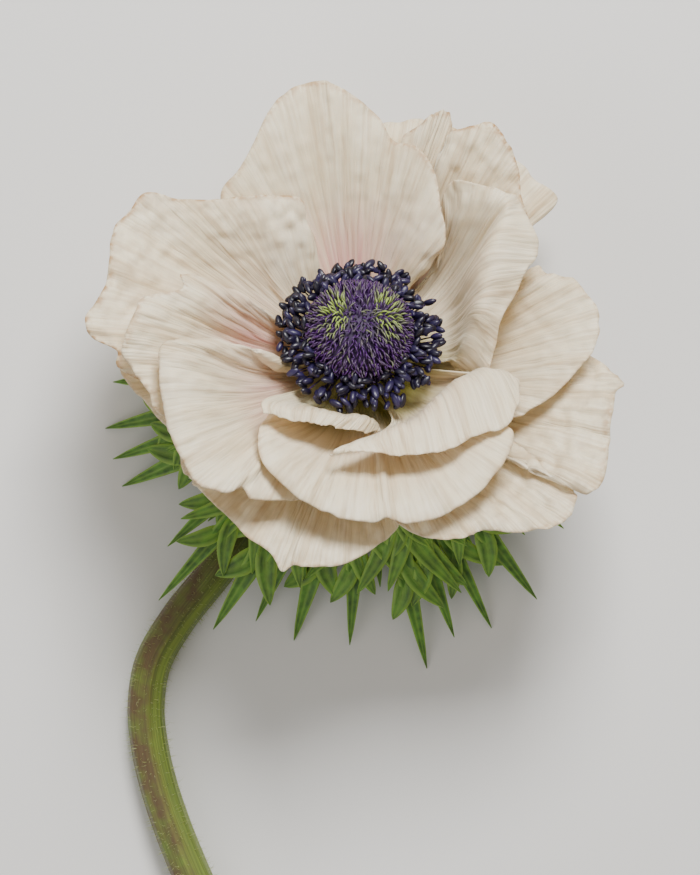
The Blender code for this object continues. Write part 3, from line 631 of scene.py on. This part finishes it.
def petal_tissue():
    """Petal tissue: matt and soft, with broad streaks of painted shade for the shade between its folds,
    fanned veins that shade it and catch light, a pink blush and a green-yellow heel, thin grey patches
    far out, and a dry tan rim."""
    look = colours()
    made, tree, shader = new_finish("petal tissue")
    veins = streaks(tree, 42, 1.6)
    # Painted shade: broad random streaks of deeper cream stand in for the shade between the petal's
    # folds.
    painted_shade_streaks = streaks(tree, 11, 1.2)
    ground = mixed(tree, ranged(tree, painted_shade_streaks, 0.3, 0.75), look.petal, look.petal_painted_shade)
    ground = mixed(tree, ranged(tree, veins, 0.46, 0.74, 0, 0.6), ground, look.petal_vein)
    thin = times(tree, field(tree, "grey"), ranged(tree, grains(tree, 2.6, 5), 0.42, 0.66, 0, 0.6))
    ground = mixed(tree, thin, ground, look.petal_grey)
    pink = times(tree, field(tree, "blush"), ranged(tree, streaks(tree, 30, 2), 0.3, 0.62, 0.5, 1.0))
    ground = mixed(tree, pink, ground, look.petal_blush)
    ground = mixed(tree, field(tree, "heel"), ground, look.petal_heel)
    dry = times(tree, field(tree, "tan"), ranged(tree, grains(tree, 1.1, 3), 0.38, 0.6))
    ground = mixed(tree, dry, ground, look.petal_tan)
    tree.links.new(ground, shader.inputs["Base Color"])
    shader.inputs["Roughness"].default_value = 0.58
    shader.inputs["Subsurface Weight"].default_value = 0.22
    shader.inputs["Subsurface Scale"].default_value = 0.0012
    shader.inputs["Subsurface Radius"].default_value = (1.0, 0.75, 0.55)
    shader.inputs["Sheen Weight"].default_value = 0.08
    raised(tree, shader, veins, 0.55, 1.0)
    return made


def leaf_blade():
    """Ruff leaf: satin green, darker in the blade, bright along its edges and over its midrib."""
    look = colours()
    made, tree, shader = new_finish("ruff leaf")
    mottle = ranged(tree, grains(tree, 2.2, 4), 0.35, 0.65)
    ground = mixed(tree, mottle, look.leaf_dark, look.leaf)
    ground = mixed(tree, field(tree, "edge"), ground, look.leaf_edge)
    tree.links.new(ground, shader.inputs["Base Color"])
    shader.inputs["Roughness"].default_value = 0.42
    shader.inputs["Subsurface Weight"].default_value = 0.08
    shader.inputs["Subsurface Scale"].default_value = 0.0008
    raised(tree, shader, streaks(tree, 14, 7), 0.22, 0.6)
    return made


def stem_skin():
    """Stem skin: satin olive with fine lengthwise lines, yellower at the top, purplish brown
    on one side and pale at the cut."""
    look = colours()
    made, tree, shader = new_finish("stem skin")
    lines = streaks(tree, 60, 5)
    ground = mixed(tree, ranged(tree, lines, 0.35, 0.65), look.stem, look.stem_dark)
    ground = mixed(tree, field(tree, "young"), ground, look.stem_young)
    brown = times(tree, field(tree, "sunned"), ranged(tree, grains(tree, 4), 0.3, 0.6))
    ground = mixed(tree, brown, ground, look.stem_purple)
    ground = mixed(tree, field(tree, "cut"), ground, look.stem_cut)
    tree.links.new(ground, shader.inputs["Base Color"])
    shader.inputs["Roughness"].default_value = 0.45
    shader.inputs["Subsurface Weight"].default_value = 0.08
    shader.inputs["Subsurface Scale"].default_value = 0.001
    raised(tree, shader, lines, 0.25, 0.6)
    return made


def tinted(name, first, second, roughness, grain_mm, coat=0.0):
    """A finish that runs from first to second by each copy's own tint, with a fine grain."""
    made, tree, shader = new_finish(name)
    tone = mixed(tree, field(tree, "tint"), first, second)
    tree.links.new(tone, shader.inputs["Base Color"])
    shader.inputs["Roughness"].default_value = roughness
    shader.inputs["Coat Weight"].default_value = coat
    raised(tree, shader, grains(tree, grain_mm), 0.05, 0.5)
    return made


class BloomSizes(bpy.types.PropertyGroup):
    """Sizes that change how the bloom is finished."""
    petal_thickness: bpy.props.FloatProperty(
        name="Petal thickness", description="Thickness of a petal", default=0.3 * MM, min=0.1 * MM,
        unit="LENGTH", precision=5)
    wrinkles: bpy.props.FloatProperty(
        name="Wrinkles", description="Depth of the petals' creases and crumpling", default=1.7,
        min=0.0, max=3.0, subtype="FACTOR")
    petal_columns: bpy.props.IntProperty(
        name="Petal columns", description="Points across each petal", default=190, min=40)
    petal_rows: bpy.props.IntProperty(
        name="Petal rows", description="Points along each petal", default=90, min=20)
    anthers: bpy.props.IntProperty(
        name="Anthers", description="How many stamens stand round the pistil", default=250, min=10)
    anther_length: bpy.props.FloatProperty(
        name="Anther length", description="Length of one anther", default=2.6 * MM, unit="LENGTH",
        precision=5)
    styles: bpy.props.IntProperty(
        name="Styles", description="How many styles cover the pistil", default=1500, min=50)
    hairs: bpy.props.IntProperty(
        name="Hairs", description="How many fine hairs stand on the stem", default=2600, min=0)


def colour_property(name, description, colour):
    """A colour setting whose default is this sRGB hex colour."""
    return bpy.props.FloatVectorProperty(
        name=name, description=description, default=linear(colour), size=3, min=0, max=1,
        subtype="COLOR")


class BloomColours(bpy.types.PropertyGroup):
    """Colours of the bloom's tissues."""
    petal: colour_property("Petal", "Main colour of the petals", "F7E9CE")
    # Painted shade: a deeper cream that stands in for the shade between the petals' folds.
    petal_painted_shade: colour_property("Petal shade", "Deeper cream between the folds", "EBD6B0")
    petal_vein: colour_property("Vein", "Colour of the petals' veins", "A88D62")
    petal_grey: colour_property("Thin tissue", "Thin greyish tissue far out", "B9A88C")
    petal_blush: colour_property("Blush", "Pink low in some petals", "D58E8E")
    petal_heel: colour_property("Heel", "Green-yellow foot of the petals", "918B2C")
    petal_tan: colour_property("Dry rim", "Dry tan edge of the petals", "A87B45")
    leaf: colour_property("Leaf", "Green of the ruff leaves", "5C9029")
    leaf_dark: colour_property("Leaf shade", "Dark green in the blade", "365A1A")
    leaf_edge: colour_property("Leaf edge", "Bright green edge", "9DC44A")
    stem: colour_property("Stem", "Olive green of the stem", "76862F")
    stem_dark: colour_property("Stem ribs", "Darker lines of the stem", "4E5E1E")
    stem_young: colour_property("Stem top", "Yellow-green under the ruff", "9BA63A")
    stem_purple: colour_property("Stem blush", "Purplish brown side", "5A3A2C")
    stem_cut: colour_property("Cut end", "Pale pith at the cut", "C9CF9A")
    anther: colour_property("Anther", "Blue-black of the anthers", "0E091A")
    anther_light: colour_property("Anther bloom", "Violet of the paler anthers", "2A2148")
    filament: colour_property("Filament", "Purple of the filaments", "3A2350")
    filament_green: colour_property("Filament foot", "Green-yellow filaments", "7F8A3A")
    style: colour_property("Style", "Purple of the styles", "43195A")
    style_lime: colour_property("Style tip", "Lime green strands", "9AB04E")
    floor: colour_property("Floor", "Plain pale floor", "E6E4E0")


def sizes():
    """The scene's size settings."""
    return bpy.context.scene.bloom_sizes


def colours():
    """The scene's colour settings."""
    return bpy.context.scene.bloom_colours


def petal_fields(grid, us, vs, name, seed):
    """How strongly each point shows blush, green heel, thin grey tissue and dry rim, 0 to 1.

    The heel fades with distance r from the pistil, from 9 to 19 mm, and is strongest low right.
    """
    blush, grey, tan = PETAL_LOOKS[name][3:]
    u, v = np.meshgrid(us, vs, indexing="ij")
    away = grid - DISC_CENTRE
    away = away - (away @ AXIS)[..., None] * AXIS
    reach = np.linalg.norm(away, axis=2)
    low_right = 0.5 + 0.5 * np.cos(np.arctan2(away[..., 1], away[..., 0]) + 0.9)
    uneven = reach + 2 * noise(9 * u, 3 * v, 150 + seed)
    heel = (1 - smooth(9, 19, uneven)) * (0.5 + 0.5 * low_right)
    middle = np.exp(-(((u - 0.5) / 0.3) ** 2))
    pink = min(1.35 * blush, 1) * middle * (1 - smooth(15, 30, reach)) * smooth(7, 11, reach)
    edge = np.minimum(np.minimum(u, 1 - u) * 1.4, 1 - v)
    width = 0.035 + 0.02 * noise(8 * u, 8 * v, 170 + seed)
    dry = tan * (1 - smooth(0.0, width, edge)) * smooth(0.3, 0.7, v)
    thin = grey * smooth(0.4, 0.9, v)
    return {"blush": pink, "heel": heel, "grey": thin, "tan": dry}


class BLOOM_OT_petals(bpy.types.Operator):
    """Makes the sixteen petals"""
    bl_idname = "bloom.petals"
    bl_label = "Petals"

    def execute(self, context):
        size = sizes()
        tissue = petal_tissue()
        columns, rows = size.petal_columns, size.petal_rows
        us, vs = np.linspace(0, 1, columns), np.linspace(0, 1, rows)
        for number, (spec, grid) in enumerate(zip(PETALS, petal_grids(columns, rows))):
            name = spec["name"]
            fields = petal_fields(grid, us, vs, name, number)
            fields = {key: np.tile(values.ravel(), 2) for key, values in fields.items()}
            points, faces, uv = closed_sheet(grid, size.petal_thickness / MM)
            made = piece(name + "_tissue", points, faces, tissue, uv, fields)
            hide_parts(name)
        return {"FINISHED"}


def blade(line, half, fold, sway, rows=22, columns=6):
    """A lance-shaped leaf blade about a line, folded up from its midrib.

    Its half width at t is half * (0.8 sin(pi t^0.8)^0.65 + 0.32 (1 - t)), and it sways along
    its length by sway * sin(3.5 t).
    """
    t = np.linspace(0, 1, rows)
    line = through(line, t, np.linspace(0, 1, len(line)))
    along = np.gradient(line, axis=0)
    along /= np.linalg.norm(along, axis=1, keepdims=True)
    side = np.cross(along, [0.0, 0.0, 1.0])
    side /= np.maximum(np.linalg.norm(side, axis=1, keepdims=True), 1e-9)
    up = np.cross(side, along)
    width = half * (np.sin(np.pi * t**0.8) ** 0.65 * 0.8 + 0.32 * (1 - t))
    width[-1] = 0.06
    s = np.linspace(-1, 1, columns + 1)[:, None]
    lift = fold * np.abs(s) * width + sway * np.sin(3.5 * t)
    return line[None] + (s * width)[..., None] * side[None] + lift[..., None] * up[None]


def leaf_line(arc, rise, place, tip):
    """The middle of one lobe: from the ruff's foot out to its tip, as the leaf solids run."""
    angle = arc[0] + (arc[1] - arc[0]) * place
    base = on_disc(np.array(RUFF_RADIUS), np.array(angle), np.array(-RUFF_DROP))
    inner = on_disc(np.array(RUFF_RADIUS + 4), np.array(angle), np.array(-RUFF_DROP - 0.2))
    bend = 0.5 * inner + 0.5 * (base + 0.55 * (tip - base) + [0, 0, rise])
    v = np.linspace(0, 1, 9)[:, None]
    return (1 - v) ** 2 * base + 2 * (1 - v) * v * bend + v**2 * tip


def leaf_blades(arc, rise, edge, seed):
    """Every blade of one ruff leaf: each lobe with side teeth, and shorter lobes between them."""
    draw = np.random.default_rng(seed)
    edge = np.array(edge, float)
    found = []
    tips = [(k / (len(edge) - 1), edge[k], 1.0) for k in range(1, len(edge) - 1, 2)]
    for k in range(2, len(edge) - 2, 2):
        tip = 0.45 * (edge[k - 1] + edge[k + 1]) / 2 + 0.55 * edge[k]
        tip[2] = max(edge[k - 1:k + 2, 2].max() * 0.75, 1.6)
        tips.append((k / (len(edge) - 1), tip, 0.8))
    for place, tip, scale in tips:
        line = leaf_line(arc, rise, place, tip)
        length = np.linalg.norm(line[-1] - line[0])
        half = scale * draw.uniform(2.2, 2.9)
        found.append(blade(line, half, 0.35, 0.2))
        run = (line[-1] - line[-3]) / np.linalg.norm(line[-1] - line[-3])
        for at, sign in ((0.44, 1), (0.5, -1), (0.66, 1), (0.72, -1)):
            root = through(line, np.array([at]), np.linspace(0, 1, len(line)))[0]
            turn = np.radians(sign * draw.uniform(24, 36))
            out = np.array([run[0] * np.cos(turn) - run[1] * np.sin(turn),
                            run[0] * np.sin(turn) + run[1] * np.cos(turn), run[2] * 0.6])
            reach = length * (1 - at) * draw.uniform(0.62, 0.82)
            end = root + out * reach + [0, 0, draw.uniform(-0.2, 0.5)]
            end[2] = max(end[2], 0.3)
            middle = (root + end) / 2 + 0.12 * reach * (run - out) + [0, 0, 0.3]
            side_line = np.array([root, middle, end])
            found.append(blade(side_line, half * 0.72, 0.3, 0.1, rows=14, columns=4))
    return found


class BLOOM_OT_leaves(bpy.types.Operator):
    """Makes the three ruff leaves under the petals"""
    bl_idname = "bloom.leaves"
    bl_label = "Ruff leaves"

    def execute(self, context):
        finish = leaf_blade()
        for seed, (name, arc, rise, edge) in enumerate(BRACTS):
            points, faces, uvs, edges, start = [], [], [], [], 0
            for grid in leaf_blades(arc, rise, edge, 200 + seed):
                part_points, part_faces, uv = closed_sheet(grid, LEAF_THICK)
                points.append(part_points)
                faces.append(part_faces + start)
                uvs.append(uv)
                rim = np.abs(2 * uv[:, 0] - 1)
                edges.append(0.75 * smooth(0.72, 1.0, rim) + 0.35 * (1 - smooth(0.0, 0.16, rim)))
                start += len(part_points)
            points = np.concatenate(points)
            points[:, 2] = np.maximum(points[:, 2], ORIGIN[2] + FLOOR_CLEAR)
            made = piece(name + "_blades", points, np.concatenate(faces), finish,
                         np.concatenate(uvs), {"edge": np.concatenate(edges)})
            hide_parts(name)
        return {"FINISHED"}


class BLOOM_OT_stem(bpy.types.Operator):
    """Makes the stem with its ribs, its cut end and its fine hairs"""
    bl_idname = "bloom.stem"
    bl_label = "Stem"

    def execute(self, context):
        sides, count = 96, 320
        centres, far = stem_line(count)
        frames = np.array(carried(centres))
        swell = np.interp(far, *STEM_SWELL)
        turn = np.arange(sides) * 2 * np.pi / sides
        rib = 0.12 * np.cos(7 * turn)[None] + 0.05 * noise(turn[None] * 5, far[:, None] / 9, 300)
        radius = swell[:, None] + rib * smooth(12, 18, far)[:, None]
        rings = (centres[:, None] + (radius * np.cos(turn))[..., None] * frames[:, None, 0]
                 + (radius * np.sin(turn))[..., None] * frames[:, None, 1])
        end, back = centres[-1], centres[-2] - centres[-1]
        inner = [end + (rings[-1] - end) * k + back * d
                 for k, d in ((0.9, 0.0), (0.55, 0.6), (0.18, 1.6), (0.01, 1.7))]
        top = [centres[0] + (rings[0] - centres[0]) * k for k in (0.01, 0.6)]
        rings = np.concatenate([top, rings, inner])
        rings[..., 2] = np.maximum(rings[..., 2], ORIGIN[2] + FLOOR_CLEAR)
        steps = len(rings)
        u, v = np.meshgrid(np.arange(sides) / sides, np.linspace(0, 1, steps))
        far = np.concatenate([[0, 0], far, np.full(len(inner), far[-1])])[:, None] + 0 * u
        sunned = smooth(0.1, 0.9, np.cos(turn - 2.6))[None] * smooth(30, 60, far) * 0.8
        cut = np.zeros((steps, sides))
        cut[-len(inner):] = 1
        young = 1 - smooth(18, 62, far)
        fields = {"young": young.ravel(), "sunned": sunned.ravel(), "cut": cut.ravel()}
        made = piece("stem_skin", rings.reshape(-1, 3), ring_faces(steps, sides)[:, ::-1],
                     stem_skin(), np.stack([u.ravel(), v.ravel()], -1), fields)
        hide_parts("stem")
        self.hairs(rings[len(top):-len(inner)], centres)
        return {"FINISHED"}

    def hairs(self, rings, centres):
        """Fine pale hairs, each a thin cone standing out from the stem and leaning a little at random.
        """
        draw = np.random.default_rng(310)
        count = sizes().hairs
        k = draw.integers(60, len(rings) - 3, count)
        i = draw.integers(0, rings.shape[1], count)
        roots = rings[k, i]
        out = roots - centres[k]
        out /= np.linalg.norm(out, axis=1, keepdims=True)
        out += 0.3 * draw.normal(size=out.shape)
        length = draw.uniform(0.5, 1.15, count)[:, None]
        keep = (roots + out * length)[:, 2] > ORIGIN[2] + 0.1
        roots, out, length = roots[keep], out[keep], length[keep]
        middle = roots + out * length * 0.5
        tips = middle + (out * 0.5 + draw.normal(size=out.shape) * 0.15) * length
        points, faces = threads(np.stack([roots, middle, tips], 1), (0.035, 0.025, 0.004), 3)
        finish = tinted("stem hairs", colours().stem_cut, colours().stem_young, 0.5, 0.5)
        made = piece("stem_hairs", points, faces, finish, None, {"tint": draw.random(len(points))})
        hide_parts("stem")


def dome_point(share, angle):
    """Points on the pistil dome and their outward normals; share runs from its lip to its top."""
    profile = np.array(DOME_PROFILE[1:])
    steps = np.linalg.norm(np.diff(profile, axis=0), axis=1)
    far = np.concatenate([[0], np.cumsum(steps)])
    far = far / far[-1]

    def at(place):
        return np.stack([np.interp(place, far, column) for column in profile.T])

    radius, height = at(share)
    dr, dh = at(share + 0.03) - at(share - 0.03)
    size = np.maximum(np.hypot(dr, dh), 1e-6)
    here = on_disc(radius, angle, height)
    level = on_disc(radius + 1, angle, height) - here
    return here, level * (dh / size)[:, None] - AXIS * (dr / size)[:, None]


class BLOOM_OT_pistil(bpy.types.Operator):
    """Makes the pistil: a dome and the fine styles that are combed over it"""
    bl_idname = "bloom.pistil"
    bl_label = "Pistil"

    def execute(self, context):
        look = colours()
        sides = 64
        profile = np.maximum(np.array(DOME_PROFILE), [0.02, 0])
        angles = np.arange(sides) * 360 / sides
        rings = [on_disc(np.full(sides, 0.965 * r), angles, np.full(sides, h - 0.15))
                 for r, h in profile]
        finish = tinted("pistil bed", look.style, look.anther, 0.6, 0.6)
        made = piece("pistil_bed", np.concatenate(rings), ring_faces(len(rings), sides), finish, None,
                     {"tint": np.full(len(rings) * sides, 0.6)})
        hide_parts("pistil_dome")
        self.styles(look)
        return {"FINISHED"}

    def styles(self, look):
        """Styles on a golden-angle spiral; each leans away from the middle of the lime whorl near it."""
        draw = np.random.default_rng(400)
        count = sizes().styles
        order = (np.arange(count) + 0.5) / count
        share = 0.22 + 0.78 * (1 - np.sqrt(order))
        angle = np.arange(count) * GOLDEN_ANGLE + draw.normal(size=count) * 3
        roots, normal = dome_point(share, angle)
        local = np.stack([(roots - DISC_CENTRE) @ SIDE, (roots - DISC_CENTRE) @ UP], -1)
        comb = np.zeros((count, 2))
        lime = np.zeros(count)
        for whorl in LIME_WHORLS:
            apart = local - whorl
            near = np.exp(-((apart / [2.1, 3.6]) ** 2).sum(1))
            lime = np.maximum(lime, near)
            comb += near[:, None] * apart * [0.25, 1]
        comb += 0.16 * local + 0.35 * draw.normal(size=comb.shape)
        comb /= np.maximum(np.linalg.norm(comb, axis=1, keepdims=True), 0.6)
        lean = comb[:, :1] * SIDE + comb[:, 1:] * UP
        lean -= (lean * normal).sum(1)[:, None] * normal
        length = draw.uniform(1.15, 1.75, count)[:, None]
        steps = [roots - 0.3 * normal]
        for up, over in ((0.42, 0.12), (0.62, 0.42), (0.62, 0.9)):
            steps.append(roots + length * (up * normal + over * lean))
        points, faces = threads(np.stack(steps, 1), (0.16, 0.16, 0.15, 0.05), 4)
        lime = np.clip(lime * 1.25 + 0.18 * draw.normal(size=count), 0, 1)
        lime = np.where(draw.random(count) < 0.62, lime, 0.1 * draw.random(count))
        finish = tinted("styles", look.style, look.style_lime, 0.42, 0.3)
        tint = np.repeat(lime, len(points) // count)
        made = piece("pistil_styles", points, faces, finish, None, {"tint": tint})
        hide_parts("pistil_dome")


class BLOOM_OT_stamens(bpy.types.Operator):
    """Makes the ring of stamens: filaments, and an anther on each"""
    bl_idname = "bloom.stamens"
    bl_label = "Stamens"

    def execute(self, context):
        look = colours()
        draw = np.random.default_rng(500)
        count = sizes().anthers
        angle = np.arange(count) * GOLDEN_ANGLE + draw.normal(size=count) * 4
        radius = STAMEN_NEAR + STAMEN_SPAN * draw.random(count)
        height = STAMEN_HIGH - STAMEN_FALL * (radius - STAMEN_NEAR) + 0.45 * draw.normal(size=count)
        seats = on_disc(radius, angle, height)
        level = on_disc(radius + 1, angle, height) - seats
        around = np.cross(AXIS, level)
        turn = draw.normal(size=count) * 0.75
        point = (level * np.cos(turn)[:, None] + around * np.sin(turn)[:, None]
                 + AXIS * (0.35 + 0.45 * draw.normal(size=count))[:, None])
        frames = frames_along(point, 510)
        half = sizes().anther_length / MM / 2
        share = np.sin(np.linspace(-1, 1, 9) * np.pi / 2 * 0.97)
        wide = np.sqrt(np.maximum(1 - share**2, 0.002))
        shape, faces = rings_shape(ANTHER_RADIUS * wide, half * share, 10)
        groove = np.exp(-((np.arctan2(shape[:, 1], shape[:, 0]) / 0.42) ** 2))
        shape[:, :2] *= (1 - 0.38 * groove)[:, None]
        shape[:, 1] *= 1.12
        scale = draw.uniform(0.84, 1.12, count)
        points, all_faces = copies(shape, faces, seats, frames * scale[:, None, None])
        finish = tinted("anther skin", look.anther, look.anther_light, 0.38, 0.35, 0.05)
        tint = np.repeat(draw.random(count) ** 1.6, len(shape))
        made = piece("stamen_anthers", points, all_faces, finish, None, {"tint": tint})
        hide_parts("stamens")
        rings, sides = 7, 5
        foot_angle = angle + draw.normal(size=count) * 5
        foot = on_disc(np.full(count, 5.3), foot_angle, np.full(count, 1.4))
        bend = on_disc(radius * 0.72, angle, height * 0.62)
        t = np.linspace(0, 1, rings)[None, :, None]
        lines = (1 - t) ** 2 * foot[:, None] + 2 * (1 - t) * t * bend[:, None] + t**2 * seats[:, None]
        points, faces = threads(lines, np.linspace(0.2, 0.13, rings), sides)
        finish = tinted("filament", look.filament_green, look.filament, 0.4, 0.4)
        tint = np.tile(np.repeat(smooth(0.2, 0.75, np.linspace(0, 1, rings)), sides), count)
        made = piece("stamen_filaments", points, faces, finish, None, {"tint": tint})
        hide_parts("stamens")
        return {"FINISHED"}


class BLOOM_OT_stage(bpy.types.Operator):
    """Makes the floor, the lights and the camera"""
    bl_idname = "bloom.stage"
    bl_label = "Stage"

    def execute(self, context):
        scene = context.scene
        low, high = (np.array(corner) for corner in CAD_BOX)
        side = 3.0
        mesh = bpy.data.meshes.new("floor")
        corners = [(-side, -side, 0), (side, -side, 0), (side, side, 0), (-side, side, 0)]
        mesh.from_pydata(corners, [], [(0, 1, 2, 3)])
        finish, _, shader = new_finish("matt floor")
        shader.inputs["Base Color"].default_value = (*colours().floor, 1)
        shader.inputs["Roughness"].default_value = 0.9
        mesh.materials.append(finish)
        floor = bpy.data.objects.new("floor", mesh)
        scene.collection.objects.link(floor)
        world = scene.world or bpy.data.worlds.new("soft room")
        scene.world = world
        world.use_nodes = True
        sky = world.node_tree.nodes["Background"]
        sky.inputs["Color"].default_value = (1.0, 0.98, 0.95, 1)
        sky.inputs["Strength"].default_value = 0.4
        aim = np.array([0.0, (low[1] + high[1]) / 2 + 0.035, 0.02])
        self.light(scene, "key", aim, (0.12, 0.52, 0.62), 0.3, 11.0)
        self.light(scene, "fill", aim, (-0.5, -0.35, 0.6), 0.6, 1.6)
        camera = bpy.data.cameras.new("camera")
        camera.lens, camera.sensor_width = LENS, FILM
        camera.clip_end = 20
        holder = bpy.data.objects.new("camera", camera)
        away = LENS * VIEW_TALL / FILM * MM
        centre = (VIEW_CENTRE - ORIGIN[:2]) * MM
        holder.location = (centre[0], centre[1], away + DISC_CENTRE[2] * MM)
        scene.collection.objects.link(holder)
        scene.camera = holder
        return {"FINISHED"}

    def light(self, scene, name, aim, offset, size, power):
        """A square soft light at aim + offset, facing aim; -Z of its matrix is the way it shines."""
        lamp = bpy.data.lights.new(name, "AREA")
        lamp.size, lamp.energy = size, power
        holder = bpy.data.objects.new(name, lamp)
        back = unit(np.array(offset, float))
        level = unit(np.cross([0.0, 1.0, 0.01], back))
        turn = np.eye(4)
        turn[:3, 0], turn[:3, 1], turn[:3, 2] = level, np.cross(back, level), back
        turn[:3, 3] = aim + np.array(offset)
        holder.matrix_world = Matrix(turn.tolist())
        scene.collection.objects.link(holder)


STEPS = (BLOOM_OT_petals, BLOOM_OT_leaves, BLOOM_OT_stem, BLOOM_OT_pistil, BLOOM_OT_stamens,
         BLOOM_OT_stage)


class BLOOM_PT_panel(bpy.types.Panel):
    """Lists the pieces of the bloom and the sizes that shape them"""
    bl_idname = "BLOOM_PT_panel"
    bl_label = "Anemone"
    bl_space_type = "VIEW_3D"
    bl_region_type = "UI"
    bl_category = "Anemone"

    def draw(self, context):
        for group in (context.scene.bloom_sizes, context.scene.bloom_colours):
            for key in group.__annotations__:
                self.layout.prop(group, key)
        for step in STEPS:
            self.layout.operator(step.bl_idname)


def register():
    """Makes the classes and the scene's settings known to Blender."""
    for made in (BloomSizes, BloomColours, *STEPS, BLOOM_PT_panel):
        bpy.utils.register_class(made)
    bpy.types.Scene.bloom_sizes = bpy.props.PointerProperty(type=BloomSizes)
    bpy.types.Scene.bloom_colours = bpy.props.PointerProperty(type=BloomColours)


def unregister():
    """Takes them away again."""
    del bpy.types.Scene.bloom_colours
    del bpy.types.Scene.bloom_sizes
    for made in (BLOOM_PT_panel, *reversed(STEPS), BloomColours, BloomSizes):
        bpy.utils.unregister_class(made)


def plain(box):
    """A box as two lists of numbers."""
    return [[float(value) for value in corner] for corner in box]


def main():
    """Makes the whole bloom."""
    register()
    bpy.ops.bloom.petals()
    bpy.ops.bloom.leaves()
    bpy.ops.bloom.stem()
    bpy.ops.bloom.pistil()
    bpy.ops.bloom.stamens()
    bpy.ops.bloom.stage()


if __name__ == "__main__":
    main()
